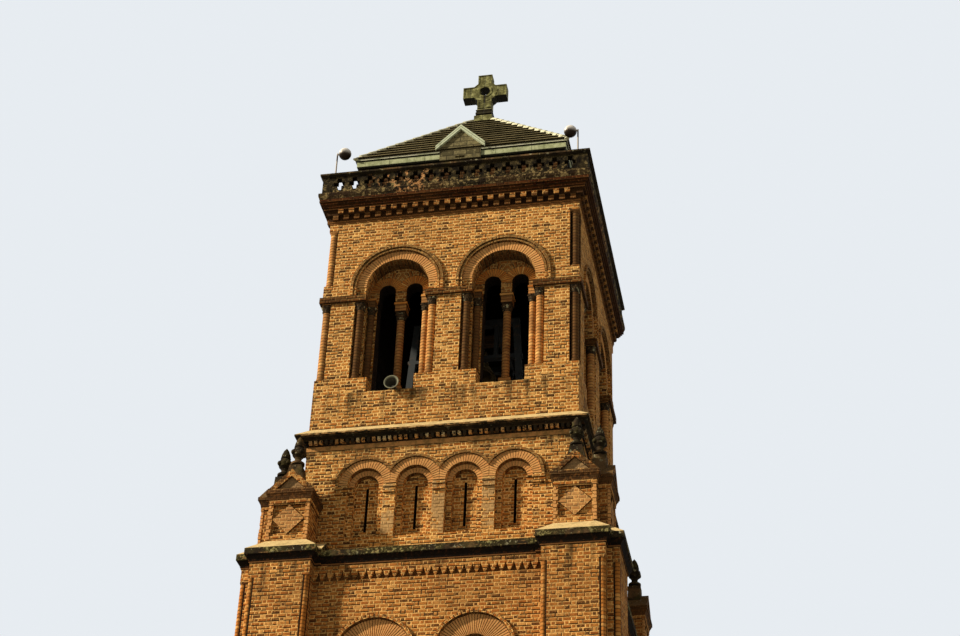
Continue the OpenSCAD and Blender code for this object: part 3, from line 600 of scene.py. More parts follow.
def plaster_coat(f):
    """Pale plaster that clings in patches to the pilasters between the arcade arches."""
    half, foot, head = 0.097, Z_ARCADE + 0.45, BAY_SPRING - 0.045
    strip = (abs(abs(f.across) - BAY) < half) | (abs(f.across) < half)
    broken = f.smooth(f.noise(3.2, 5.0, 0.7), 0.47, 0.54)
    worn = f.smooth(f.noise(22.0, 3.0, 0.7), 0.40, 0.62) * 0.6
    shade = f.mix(worn, (0.52, 0.315, 0.125), (0.26, 0.14, 0.05))
    f.lay(strip * f.band(foot, head) * broken * 0.9, shade)


def zigzag_shade_coat(f):
    """Painted shade on the sunk triangles of the zigzag band."""
    foot, head, back = Z_CORNICE - 0.27, Z_CORNICE - 0.08, BASE - 0.02
    f.lay(f.band(foot, head) * (f.far < back) * 0.85, (0.085, 0.032, 0.009))


def roll_coat(f):
    """Stacked round bricks on the pier edges, with the gap beside each roll painted black as shadow."""
    out, deep, radius, slit_edge = 0.410, 0.042, 0.0435, -0.048
    foot, head = 0.86, Z_CORNICE - 0.235
    off, back = abs(f.near - PIER_X) - out, f.far - (PIER - deep)
    reach = f.math("SQRT", off * off + back * back)
    level = f.band(foot, head)
    joint, number = stacked_pattern(f)
    roll = f.mix(joint * 0.6, brick_tones(f, number * 0.5 + 0.5), f.bricks.gap)
    f.lay((reach < radius) * level, roll)
    # Painted shadow in the gap between the roll and its notch
    slit_shadow = (reach > radius) * (off > slit_edge) * (back > slit_edge) * level
    f.lay(slit_shadow, (0.010, 0.006, 0.003))


def pinnacle_coat(f):
    """Pale diamonds and gable fields, black moss on the pinnacle's cornice and slopes."""
    middle, half, ledge_foot, ledge_top, gable = 0.565, 0.238, 0.885, 1.04, 1.05
    grain = f.noise(18.0, 4.0, 0.7)
    off = abs(f.near - PIER_X)
    diamond = (off + abs(f.z - (Z_ARCADE + middle)) < half) * (f.far > PINNACLE - 0.004)
    f.lay(diamond * 0.4, (0.60, 0.36, 0.15))
    field = (abs(f.far - PINNACLE) < 0.006) * (f.z > Z_ARCADE + gable)
    f.lay(field * 0.85, f.mix(grain, (0.16, 0.11, 0.05), (0.58, 0.42, 0.22)))
    ledge = f.band(Z_ARCADE + ledge_foot, Z_ARCADE + ledge_top)
    dirt = f.mix(f.smooth(grain, 0.54, 0.62), f.stone.dark, (0.24, 0.11, 0.034))
    f.lay(ledge * 0.92, dirt)
    high = (f.z > Z_ARCADE + ledge_top - 0.02) * (1.0 - field)
    slope = f.smooth(f.up, 0.2, 0.4) | (f.smooth(f.noise(7.0, 3.0), 0.42, 0.52) * 0.9 * high)
    moss = f.mix(f.smooth(grain, 0.56, 0.63), shaded(f.stone.dark, 0.7), shaded(f.stone.lichen, 0.5))
    f.lay(slope * 0.95, moss)


def dentil_coat(f):
    """The lower row of dentils is darker than the upper one."""
    row = 0.157
    f.lay((f.z < Z_MAIN + row) * 0.7, (0.11, 0.045, 0.013))


def crown_coat(f):
    """Bricks under the balustrade darkened by soot and by painted shade, painted shade between the dentils,
    and mossy stone in the top course.
    """
    foot, head, edge, top = 0.064, 0.249, (0.251, 0.268), 0.428
    # Darkens the whole cornice: soot, and painted shade under the overhang
    f.lay(1.0, (0.12, 0.075, 0.05), "MULTIPLY")
    f.lay(f.band(*edge, Z_MAIN) * 0.8, (0.20, 0.090, 0.027))
    # Painted shade between the dentils
    f.lay(f.band(foot, head, Z_MAIN) * 0.9, (0.020, 0.009, 0.003))
    f.lay((f.z < Z_MAIN + foot) * 0.8, (0.30, 0.125, 0.034))
    f.lay(f.z > Z_MAIN + top, balustrade_tone(f))


def balustrade_tone(f):
    """Black dirt with mottled cream patches, thickest low down, an orange patch left of the middle, and
    painted shade on what looks down.
    """
    grain = f.noise(14.0, 5.0, 0.72)
    patch = f.noise(7.5, 4.0, 0.7)
    tone = f.mix(f.smooth(patch, 0.38, 0.62), (0.006, 0.004, 0.002), (0.034, 0.024, 0.009))
    low = f.smooth(f.z, Z_RAIL + 0.24, Z_RAIL + 0.02) * 0.75 + 0.2
    fleck = f.smooth(grain, 0.50, 0.56) * f.smooth(patch, 0.44, 0.54) * low
    tone = f.mix(fleck * 0.9, tone, (0.28, 0.20, 0.078))
    place = f.smooth(abs(f.across + 0.80), 0.75, 0.25)
    rust = f.smooth(grain, 0.50, 0.57) * f.smooth(f.noise(5.0, 3.0), 0.49, 0.56) * place
    tone = f.mix(rust * 0.9, tone, f.mix(patch, (0.50, 0.15, 0.02), (0.50, 0.34, 0.16)))
    # Painted shade on what looks down
    return f.mix(f.smooth(-f.up, 0.3, 0.8) * 0.85, tone, (0.008, 0.005, 0.002))


def balustrade_finish(name):
    """Rough pitted stone in the tone of the balustrade."""
    f = Finish(name, 0.93)
    f.bump(f.noise(20.0, 5.0, 0.7), 0.018, 0.9)
    f.tone = balustrade_tone(f)
    return f.paint()


def stone_finish(name, mossy=0.5, warm=0.3, bed=1.0, seams=0.0, coats=()):
    """Moulded stone gone dark: moss and lichen on its faces, painted shade on what looks down and a pale
    mortar bed on its slopes.
    """
    f = Finish(name, 0.92)
    grain = f.noise(26.0, 5.0, 0.7)
    cloud = f.noise(2.1, 4.0, 0.65)
    patch = f.noise(7.0, 4.0, 0.6)
    f.tone = f.mix(f.smooth(cloud, 0.45, 0.75 - warm * 0.3), f.stone.dark, f.stone.warm)
    f.stain(patch, 0.45, 0.62, mossy, f.stone.moss)
    spots = f.smooth(f.noise(16.0, 3.0, 0.7), 0.60, 0.68)
    f.lay(spots * 0.7, f.stone.lichen)
    for coat in coats:
        coat(f)
    # Painted shade on what looks down
    f.under(shaded(f.stone.dark, 0.4), 0.85, 0.2, 0.7)
    slope = f.smooth(f.up, 0.25, 0.45) * bed
    bed_tone = f.mix(f.smooth(patch, 0.42, 0.75) * 0.55, f.stone.bed, (0.22, 0.15, 0.06))
    bed_tone = f.mix(f.smooth(grain, 0.5, 0.8) * 0.5, bed_tone, (0.12, 0.095, 0.038))
    f.lay(slope, bed_tone)
    height = grain * 0.6 + patch * 0.8
    if seams:
        width = 0.008
        line = f.smooth(f.seam(f.across / seams), 0.5 - width / seams, 0.5)
        f.lay(line * (1.0 - slope) * 0.8, f.stone.dark)
        height = height - line
    f.bump(height, 0.016, 0.9)
    return f.paint()


def ledge_coat(f):
    """The flush band under the ledge is dirty brick, the bed of the dentils is painted dark as the shade
    between them, and the lip ragged.
    """
    bed, top, lip_foot = 0.080, 0.148, 0.014
    grain = f.noise(12.0, 4.0, 0.65)
    band = f.mix(f.smooth(grain, 0.4, 0.65), (0.52, 0.245, 0.075), (0.26, 0.145, 0.047))
    f.lay(f.z < Z_LEDGE + bed, band)
    torn = f.noise(1.0, 4.0, 0.7, over=f.vector(f.across * 9.0, f.z * 30.0, f.x + f.y))
    lip = f.z > Z_BELFRY + lip_foot
    f.lay(lip * 0.9, f.ramp(torn, [(0.38, (0.012, 0.008, 0.004)), (0.47, (0.070, 0.046, 0.016)),
                                   (0.53, (0.36, 0.18, 0.058)), (0.65, (0.52, 0.35, 0.145))]))
    # Painted shade on the bed between the dentils
    f.lay(f.band(bed, top, Z_LEDGE),
          f.mix(f.smooth(grain, 0.5, 0.6), shaded(f.stone.dark, 0.4), (0.20, 0.085, 0.024)))


def lip_coat(f):
    """A mossy lip with pale lichen over a hollow painted black as the shade under the lip, and a thin brick
    edge at its foot.
    """
    lip_foot, edge = 0.112, 0.020
    grain = f.noise(20.0, 4.0, 0.7)
    lip = f.z > Z_CORNICE + lip_foot
    # Painted shade: the hollow under the lip is near black
    hollow = f.mix(f.smooth(grain, 0.55, 0.62), (0.005, 0.003, 0.002), (0.055, 0.018, 0.005))
    f.lay((1.0 - lip) * 0.95, hollow)
    moss = f.mix(f.smooth(grain, 0.52, 0.60), shaded(f.stone.moss, 0.45), (0.30, 0.25, 0.09))
    f.lay(lip * f.smooth(f.noise(2.2, 3.0), 0.45, 0.58) * 0.85, moss)
    worn = f.smooth(f.noise(1.0, 4.0, 0.7, over=f.vector(f.across * 6.0, f.z * 22.0, f.x + f.y)), 0.58, 0.64)
    f.lay(lip * worn * 0.7, (0.30, 0.16, 0.055))
    f.lay((f.z < Z_CORNICE + edge) * 0.75, (0.24, 0.10, 0.030))


def copper_finish(name, dirt=0.4, plates=0.42, coats=()):
    """Green copper sheet: olive patches, brown streaks that run down, painted shade on what looks down and
    dark seams between plates.
    """
    f = Finish(name, 0.62, shine=0.06)
    grain = f.noise(14.0, 5.0, 0.65)
    run = f.noise(1.0, 4.0, 0.6, over=f.vector(f.across * 16.0, f.z * 2.2))
    f.tone = f.mix(f.smooth(grain, 0.40, 0.60) * 0.6, f.roof.copper, (0.22, 0.24, 0.10))
    f.stain(run, 0.52 - dirt * 0.16, 0.74, 0.4 + dirt * 0.55, f.roof.stain)
    for coat in coats:
        coat(f)
    # Painted shade on what looks down
    f.under((0.005, 0.004, 0.002), 0.97, 0.2, 0.7)
    gap = f.seam(f.across / plates + 0.5)
    seam = 1.0 - f.smooth(gap, 0.002 / plates, 0.007 / plates)
    f.lay(seam * 0.75, (0.03, 0.028, 0.015))
    f.bump(grain * 0.4 - seam, 0.007, 0.7)
    return f.paint(grain * 0.3 + 0.45)


def gutter_coat(f):
    """Pale copper bloom along the top lip of the gutter, laid also as a painted highlight; a painted shadow
    line under the lip and a foot that grows darker towards the bottom.
    """
    lip_top, lip_foot, line_foot, dark_top, dark_foot = -0.030, -0.040, -0.052, -0.140, -0.162
    broken = f.smooth(f.noise(1.0, 3.0, over=f.vector(f.across * 5.0, f.z * 30.0, f.x)), 0.35, 0.50)
    # Painted highlight on the top lip, in the pale copper bloom
    f.lay(f.smooth(f.z, Z_EAVES + lip_foot, Z_EAVES + lip_top) * broken * 0.9, f.roof.bloom)
    # Painted shadow line under the lip; the foot below grows darker downwards
    line = f.band(line_foot, lip_foot, Z_EAVES)
    foot = (1.0 - f.smooth(f.z, Z_EAVES + dark_foot, Z_EAVES + dark_top)) | (line * 0.6)
    f.lay(foot * 0.85, (0.035, 0.032, 0.014))


def cross_coat(f):
    """Old copper that has kept its brown: olive faces, a neck under the collar painted black as shade, and
    rows of seams.
    """
    f.lay(1.0, (0.40, 0.36, 0.23), "MULTIPLY")
    patch = f.noise(9.0, 5.0, 0.7)
    f.stain(patch, 0.50, 0.60, 0.75, (0.37, 0.35, 0.14))
    f.stain(patch, 0.50, 0.40, 0.5, (0.075, 0.065, 0.022))
    half, slot, neck, collar, pitch, start = 0.020, (0.52, 0.71), (0.152, 0.332), (0.334, 0.372), 0.136, 0.33
    streak = (abs(f.x) < half) * f.band(*slot, Z_ROOF_TOP)
    # The neck under the collar is painted near black as shade
    f.lay((f.band(*neck, Z_ROOF_TOP) | streak) * 0.93, (0.014, 0.009, 0.004))
    f.lay((f.seam(f.z / pitch + start) < 0.04) * 0.6, (0.040, 0.034, 0.012))
    f.lay(f.band(*collar, Z_ROOF_TOP) * 0.8, (0.46, 0.41, 0.19))


def tile_finish(name):
    """Clay tiles, each with its own tone, gone olive and black with moss in patches, with painted shade on
    their fronts that look down.
    """
    f = Finish(name, 0.88)
    own = f.own_tone()
    grain = f.noise(40.0, 4.0, 0.7)
    patch = f.noise(2.6, 4.0, 0.6)
    f.tone = f.mix(own * 0.3 + grain * 0.3 + 0.2, f.roof.tile_dark, f.roof.tile_pale)
    f.stain(patch, 0.46, 0.66, 0.65, (0.055, 0.046, 0.018))
    f.stain(f.noise(11.0, 3.0), 0.60, 0.70, 0.25, (0.26, 0.21, 0.11))
    # Painted shade on the tile fronts that look down
    f.under((0.012, 0.009, 0.004), 0.9, 0.1, 0.4)
    f.bump(grain, 0.003, 0.6)
    return f.paint()


def shaft_finish(name):
    """Round shafts of stacked bricks with dark heads, and painted shade on the shafts at one hand of each
    window, half as much on the middle ones, and on the front-right corner shaft.
    """
    f = Finish(name)
    joint, number = stacked_pattern(f)
    grain = f.noise(36.0, 4.0, 0.7)
    f.tone = f.mix(0.3, brick_tones(f, number * 0.75 + 0.25), (0.74, 0.430, 0.160))
    f.stain(grain, 0.5, 0.65, 0.4, shaded(f.bricks.red, 0.35))
    f.lay(joint * 0.62, f.bricks.gap)
    cloud = f.noise(2.0, 3.0)
    f.stain(cloud, 0.42, 0.66, 0.55, (0.13, 0.06, 0.022))
    side = abs(f.x) > abs(f.y)
    run = f.pick(side, -f.x * f.math("SIGN", f.y), f.y * f.math("SIGN", f.x))
    place = (abs(run) - WIN_X) * f.math("SIGN", run)
    # Painted shade on the shafts that face away from the light
    sun_side, window, middle, corner, head = -0.3, 0.8, 0.2, 0.2, (-0.16, -0.010)
    shaft_shade = (place < sun_side) * (abs(place) < window) | ((abs(place) < middle) * 0.5)
    shaft_shade = shaft_shade | ((f.x > TOWER - corner) * (f.y < corner - TOWER))
    f.lay(shaft_shade * 0.78, (0.032, 0.015, 0.006))
    f.lay(f.band(*head, Z_IMPOST) * 0.9, f.stone.dark)
    f.bump(grain * 0.35 - joint, 0.010, 0.9)
    return f.paint()


def dormer_finish(name):
    """Dormer faces in grey-brown blocks under a raking coping of pale copper."""
    f = Finish(name, 0.85)
    swap = abs(f.y) > abs(f.x)
    across = f.pick(swap, f.y, f.x)
    coping_foot, edge_height, edge_half, proud = 0.433, 0.484, 0.007, 0.012
    above = (f.z + abs(across)) > (Z_EAVES + coping_foot)
    coping = above | ((f.far > EAVE + proud) * (f.z > Z_EAVES))
    grain = f.noise(24.0, 5.0, 0.7)
    length, course = 0.23, 0.098
    row, cell, along, part = bond(f, across, f.z, length, course)
    joint = 1.0 - f.smooth((to_edge(along) * length) & (to_edge(part) * course), 0.003, 0.009)
    block = f.mix(f.dice(cell, row, swap), (0.080, 0.064, 0.028), (0.18, 0.145, 0.066))
    block = f.mix(f.smooth(grain, 0.42, 0.7) * 0.6, block, (0.055, 0.052, 0.024))
    pale = f.smooth(f.noise(11.0, 4.0, 0.7), 0.50, 0.58)
    block = f.mix(pale * 0.55, block, (0.26, 0.215, 0.095))
    block = f.mix(joint * 0.8, block, (0.03, 0.024, 0.013))
    sheet = f.mix(f.smooth(grain, 0.35, 0.7) * 0.6, (0.56, 0.60, 0.41), f.roof.copper)
    line = f.smooth(f.noise(1.0, 3.0, over=f.vector(across * 14.0, f.z * 5.0)), 0.55, 0.7)
    sheet = f.mix(line * 0.5, sheet, f.roof.stain)
    edge = abs(f.z + abs(across) - (Z_EAVES + edge_height)) < edge_half
    sheet = f.mix(edge * 0.8, sheet, f.roof.stain)
    f.bump(grain * 0.4 - joint * (1.0 - coping), 0.009, 0.8)
    f.tone = f.mix(coping, block, sheet)
    return f.paint()


def metal_finish(name, base, roughness=0.45, metallic=0.6, rust=0.25):
    """Painted or bare metal with a light bloom of rust and dirt."""
    f = Finish(name, roughness, metallic, 0.4)
    grain = f.noise(60.0, 4.0, 0.6)
    spots = f.smooth(f.noise(9.0, 4.0, 0.65), 0.55, 0.72)
    f.tone = f.mix(grain * 0.35, base, shaded(base, 0.6))
    f.lay(spots * rust, (0.16, 0.075, 0.03))
    f.bump(grain, 0.0015, 0.4)
    return f.paint(grain * 0.25 + (roughness - 0.1))


def timber_finish(name, base, stretch):
    """Boards with a grain stretched along one axis: stretch gives the scale across x, y and z."""
    f = Finish(name, 0.6)
    grain = f.noise(3.0, 5.0, 0.6, over=f.vector(f.x * stretch[0], f.y * stretch[1], f.z * stretch[2]))
    f.tone = f.mix(f.smooth(grain, 0.3, 0.72), base, shaded(base, 0.32))
    f.bump(grain, 0.003, 0.6)
    return f.paint(grain * 0.3 + 0.4)


def screed_finish(name):
    """Rough cement floors, dusty and dark."""
    f = Finish(name, 0.9)
    grain = f.noise(22.0, 5.0, 0.7)
    cloud = f.noise(1.6, 4.0, 0.6)
    f.tone = f.mix(f.smooth(cloud, 0.35, 0.7), (0.16, 0.14, 0.11), (0.30, 0.27, 0.22))
    f.stain(grain, 0.5, 0.75, 0.4, (0.07, 0.06, 0.045))
    f.bump(grain, 0.006, 0.6)
    return f.paint()


def dentil_finish(name):
    """Small dentils of the ledge: some sooty, most in clean brick, a few pale as painted glints, by their
    own tone.
    """
    f = Finish(name, 0.9)
    number = f.own_tone()
    clean = f.smooth(number, 0.30, 0.45) * f.smooth(f.noise(30.0, 3.0), 0.38, 0.50)
    # The pale dentils are painted glints
    lit = f.mix(f.smooth(number, 0.78, 0.86), (0.52, 0.260, 0.080), (0.52, 0.37, 0.170))
    f.tone = f.mix(clean, shaded(f.stone.dark, 1.6), lit)
    return f.paint()


def carved_finish(name):
    """Dark carved stone with spots of lichen."""
    f = Finish(name, 0.9)
    grain = f.noise(34.0, 5.0, 0.7)
    f.tone = f.mix(f.smooth(grain, 0.45, 0.75), f.stone.dark, f.stone.warm)
    f.stain(f.noise(14.0, 3.0), 0.58, 0.66, 0.7, f.stone.lichen)
    f.bump(grain, 0.006, 0.8)
    return f.paint()


def hip_finish(name):
    """Pale mortar and worn tiles along the hips."""
    f = Finish(name, 0.85)
    grain = f.noise(26.0, 4.0, 0.7)
    f.tone = f.mix(f.smooth(grain, 0.40, 0.72), f.roof.bloom, (0.26, 0.25, 0.13))
    f.bump(grain, 0.006, 0.7)
    return f.paint()


def lamp_finish(name):
    """Lamp shells with a pale top as painted light, a dark band under it as painted shade, and a grey-brown
    lower half.
    """
    f = Finish(name, 0.35, 0.3)
    low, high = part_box("floodlights")
    level = (f.z - low.z) / (high.z - low.z) + f.noise(14.0, 4.0, 0.6) * 0.10
    # Painted light on the top of the shell and painted shade below it
    f.tone = f.mix(f.smooth(level, 0.80, 0.98), (0.050, 0.034, 0.020), (0.80, 0.72, 0.60))
    # Painted shade on what looks down
    f.under((0.018, 0.012, 0.008), 0.9, 0.2, 0.6)
    f.lay((f.z - low.z) / (high.z - low.z) < 0.58, (0.26, 0.22, 0.17))
    return f.paint()


def horn_finish(name):
    """A horn seen into its mouth: a pale rim, a dark throat and a pale driver in the middle."""
    f = Finish(name, 0.5)
    low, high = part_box("horn_loudspeaker")
    mouth, throat, rim, core, driver = 0.118, 0.085, 0.105, 0.018, 0.026
    x, z = f.x - (low.x + high.x) / 2, f.z - (high.z - mouth)
    reach = f.math("SQRT", x * x + z * z)
    f.tone = f.mix(f.smooth(reach, throat, rim), (0.045, 0.040, 0.026), (0.22, 0.21, 0.13))
    f.lay(1.0 - f.smooth(reach, core, driver), (0.42, 0.38, 0.30))
    grain = f.noise(40.0, 4.0)
    f.stain(grain, 0.5, 0.8, 0.4, (0.12, 0.09, 0.05))
    f.bump(grain, 0.001, 0.3)
    return f.paint()


def floor_finish(name, ground):
    """The studio floor, with a faint cloud in it."""
    f = Finish(name, 0.9)
    f.tone = f.mix(f.noise(0.4, 2.0) * 0.3, ground, shaded(ground, 0.93))
    return f.paint()


def walls(storey):
    """The names of the four walls of a storey."""
    return ["%s_wall_%s" % (storey, side) for side in ("front", "back", "left", "right")]


def dress(finish, *nodes):
    """Gives the named solids one finish, in the slots that they have."""
    for name in nodes:
        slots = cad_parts[name].data.materials
        for index in range(len(slots)):
            slots[index] = finish


# Operators

class TOWER_OT_brickwork(bpy.types.Operator):
    """Lays the brick finish on walls, piers, pinnacles and shafts"""
    bl_idname = "tower.brickwork"
    bl_label = "Brickwork"

    def execute(self, context):
        win, light = ((WIN_X,), WIN_SPRING), ((WIN_X, LIGHT_X), LIGHT_SPRING)
        bay, middle, portal = ((BAY, BAY / 2), BAY_SPRING), ((MID_X,), MID_SPRING), ((), PORTAL_SPRING)
        hood = hood_coat((0.155, 0.084, 0.025), *win, *WIN_RINGS[1:])
        # Each storey's shade reach paints its inside near black as shade
        belfry = brick_finish("belfry_brick", [(*win, *WIN_RINGS[1:]), (*light, *LIGHT_RINGS[1:])],
                              [(*win, *WIN_RINGS[:2]), (*light, *LIGHT_RINGS[:2])],
                              [(Z_BELFRY + 0.86, 0.7), (Z_IMPOST, 0.25)], [hood, tympanum_shade_coat, niche_shade_coat],
                              shade_reach=TOWER - 0.305, worn=0.25)
        dress(belfry, *walls("belfry"))
        arches = hood_coat((0.16, 0.085, 0.026), *bay, 0.420, 0.470)
        arcade = brick_finish("arcade_brick", [], [(*bay, *BAY_RINGS[1:]), (*bay, *BAY_RINGS[:2])],
                              [(Z_LEDGE, 0.3)], [plaster_coat, arches], shade_reach=TOWER - 0.165, worn=0.35)
        dress(arcade, *walls("arcade"))
        lower = brick_finish("middle_brick", [(*middle, *MID_RINGS[1:])], [(*middle, *MID_RINGS[:2])],
                             [(Z_CORNICE, 0.5), (MID_SPRING - 1.72, 1.1)], [zigzag_shade_coat],
                             shade_reach=BASE - 0.25, dull_and_shade=0.94)
        dress(lower, *walls("middle"))
        plain = brick_finish("ground_brick", worn=0.5, dull_and_shade=0.94)
        dress(plain, "zigzag_band", *walls("ground"))
        door = brick_finish("portal_brick", [], [(*portal, *PORTAL_RINGS)], worn=0.5, dull_and_shade=0.94)
        dress(door, "ground_wall_front")
        piers = brick_finish("pier_brick", levels=[(Z_CORNICE, 0.8)], coats=[zigzag_shade_coat, roll_coat],
                             dull_and_shade=0.94)
        dress(piers, "corner_piers")
        # The attic wall is darkened almost to black: painted shade behind the balustrade
        dress(brick_finish("attic_brick", worn=0.6, dull_and_shade=0.14), "attic_wall")
        dress(brick_finish("pinnacle_brick", coats=[pinnacle_coat], worn=0.5, dull_and_shade=0.93), "pinnacles")
        dress(brick_finish("cornice_brick", coats=[crown_coat], worn=0.3), "main_cornice")
        dress(brick_finish("dentil_brick", coats=[dentil_coat], worn=0.5, dull_and_shade=0.64), "cornice_dentils")
        string = brick_finish("string_brick", levels=[(Z_IMPOST_TOP, 0.04)], worn=0.9, dull_and_shade=0.29)
        dress(string, "impost_string")
        dress(shaft_finish("shaft_brick"), "colonnettes")
        return {"FINISHED"}


class TOWER_OT_arch_bricks(bpy.types.Operator):
    """Sets radial bricks round every arch, as wedges bedded a little proud of the wall"""
    bl_idname = "tower.arch_bricks"
    bl_label = "Arch bricks"

    def execute(self, context):
        rng = np.random.default_rng(11)
        # arch_brick_shaded is a darker copy of the arch brick, painted shade for the wedges round the window
        # lights and for the impost plates
        finish, deep = wedge_finish("arch_brick"), wedge_finish("arch_brick_shaded", 0.75, 0.0)
        first, second, gap = 0.5 * BAY, 1.5 * BAY, 0.004
        # For each ring: inner and outer radius, number of wedges, back and front behind the face
        light, inner = (0.139, 0.285, 19, 0.31, 0.295), (0.193, 0.279, 16, 0.10, 0.076)
        bay, middle = (0.283, 0.419, 27, 0.02, -0.004), (0.257, 0.553, 40, 0.05, 0.025)
        plan = {
            "belfry_arch_bricks": [(TOWER, WIN_X, WIN_SPRING, 0.516, 0.671, 42, 0.05, 0.030)],
            "light_arch_bricks": [(TOWER, WIN_X - LIGHT_X, LIGHT_SPRING, *light, WIN_X - 1, WIN_X),
                                  (TOWER, WIN_X + LIGHT_X, LIGHT_SPRING, *light, WIN_X)],
            "arcade_arch_bricks": [(TOWER, first, BAY_SPRING, *bay, gap, BAY - gap),
                                   (TOWER, second, BAY_SPRING, *bay, BAY + gap)],
            "arcade_inner_bricks": [(TOWER, x, BAY_SPRING, *inner) for x in (first, second)],
            "middle_arch_bricks": [(BASE, MID_X, MID_SPRING, *middle)],
        }
        fans = {name: [fan_blocks(rng, *arch) for arch in arches] for name, arches in plan.items()}
        for name, wedges in fans.items():
            blocks = on_sides(both_hands(np.concatenate(wedges)))
            add_blocks(name, blocks, deep if name == "light_arch_bricks" else finish, rng)
        door = fan_blocks(rng, BASE, 0.0, PORTAL_SPRING, 0.735, 0.93, 36, 0.02, -0.004)
        add_blocks("portal_arch_bricks", door, finish, rng)
        self.imposts(deep, rng)
        self.quoins(finish, rng)
        return {"FINISHED"}

    def imposts(self, finish, rng):
        """Thin plates over the inner and middle shafts: boxes a little wider than the block under them."""
        at = np.array([-INNER_X, 0.0, INNER_X])
        back = np.array([INNER_Y, MIDDLE_Y, INNER_Y])
        half, deep = np.array([[0.072, 0.106, 0.072], [0.072, 0.112, 0.072]])
        foot, top = LIGHT_FOOT - 0.046, LIGHT_FOOT - 0.008
        low = places(WIN_X + at - half, -TOWER + back - deep, foot)
        high = places(WIN_X + at + half, -TOWER + back + deep, top)
        blocks = on_sides(both_hands(box_blocks(low, high)))
        add_blocks("impost_plates", blocks, finish, rng)

    def quoins(self, finish, rng):
        """Brick ends on the corners of the pinnacles: one box a course, longer in every other one."""
        count, course, tall = 12, 0.058, 0.046
        rows = np.arange(count)
        foot, reach, long, short = Z_ARCADE + 0.235, 0.302, 0.050, 0.026
        z = foot + course * rows
        blocks = []
        for hand in (-1.0, 1.0):
            span = np.where(rows % 2 == 0, long, short) + rng.uniform(-0.004, 0.010, count)
            out = rng.uniform(0.002, 0.013, count)
            edge, inner = PIER_X + hand * (reach + out), PIER_X + hand * (reach - span)
            low = places(np.minimum(edge, inner), -PINNACLE - out, z)
            blocks.append(box_blocks(low, places(np.maximum(edge, inner), -PINNACLE + 0.03, z + tall)))
        arm = np.concatenate(blocks)
        mirror = places(-arm[..., 1], -arm[..., 0], arm[..., 2])
        add_blocks("pinnacle_quoins", on_sides(np.concatenate([arm, mirror])), finish, rng)


class TOWER_OT_mouldings(bpy.types.Operator):
    """Weathers ledges, strings, finials, floors and balustrade, and sets the dentils of the belfry ledge"""
    bl_idname = "tower.mouldings"
    bl_label = "Stone mouldings"

    def execute(self, context):
        dress(stone_finish("cornice_stone", 0.4, 0.25, coats=[lip_coat]), "lower_cornice")
        dress(stone_finish("ledge_stone", 0.4, 0.25, coats=[ledge_coat]), "belfry_ledge")
        dress(stone_finish("string_stone", 0.2, 0.8, 0.6), "string_course")
        dress(stone_finish("finial_stone", 0.5, 0.25, 0.0), "finials")
        dress(stone_finish("coping_stone", 0.5, 0.3, 0.15, 0.48), "balustrade_coping")
        dress(stone_finish("plinth_stone", 0.2, 0.95, 0.5, 0.52), "plinth")
        dress(balustrade_finish("balustrade_stone"), "balustrade_panels", "balustrade_corners")
        dress(screed_finish("floor_screed"), "floors")
        finish = dentil_finish("dentil_stone")
        pitch, half, back, front = 0.083, 0.023, 0.030, 0.086
        foot, head = Z_LEDGE + 0.094, Z_LEDGE + 0.147
        count = int(2 * TOWER / pitch)
        x = (np.arange(count) - (count - 1) / 2) * pitch
        low, high = places(x - half, -TOWER - front, foot), places(x + half, -TOWER - back, head)
        add_blocks("ledge_dentils", on_sides(box_blocks(low, high)), finish,
                   np.random.default_rng(5))
        return {"FINISHED"}


class TOWER_OT_capitals(bpy.types.Operator):
    """Carves a leafy capital round the head of each shaft of the belfry"""
    bl_idname = "tower.capitals"
    bl_label = "Capitals"

    def execute(self, context):
        finish = carved_finish("carved_stone")
        # For each kind of shaft: its radius and how far under the impost string its head starts
        outer, inner, middle = (0.062, 0.160), (0.052, 0.140), (0.062, 0.170)
        shafts = []
        for hand in (-1, 1):
            shafts.append((hand * WIN_X, MIDDLE_Y - TOWER, *middle))
            for turn in (-1, 1):
                shafts.append((turn * OUTER_X + hand * WIN_X, OUTER_Y - TOWER, *outer))
                shafts.append((turn * INNER_X + hand * WIN_X, INNER_Y - TOWER, *inner))
        shafts.append((TOWER - OUTER_Y, OUTER_Y - TOWER, *outer))
        skin, flare, tall, axis, sides = 0.003, 0.010, 0.118, 0.001, 40
        rise = np.linspace(0, 1, 15)
        grids = []
        for x, y, radius, drop in shafts:
            profile = np.stack([radius + skin + flare * rise ** 2, tall * rise], axis=-1)
            profile = np.concatenate([[[axis, 0.0]], profile, [[axis, tall]]])
            grids.append(lathe(profile, [(x, y, Z_IMPOST - drop)], sides, self.leaves))
        grid = on_sides(np.concatenate(grids))
        add_piece("shaft_capitals", grid, sheet_faces(grid), finish, smooth=True)
        return {"FINISHED"}

    def leaves(self, place, angle):
        """Two tiers of eight leaves swell and curl out with height; the upper ones reach to the corners."""
        tier = (place * 2.0) % 1.0
        leaf = 0.5 + 0.5 * np.cos(8 * angle + math.pi * (place >= 0.5))
        corner = np.sin(2 * angle) ** 2
        return 1.0 + 0.10 * place + 0.30 * tier ** 2 * leaf + 0.20 * place ** 3 * corner


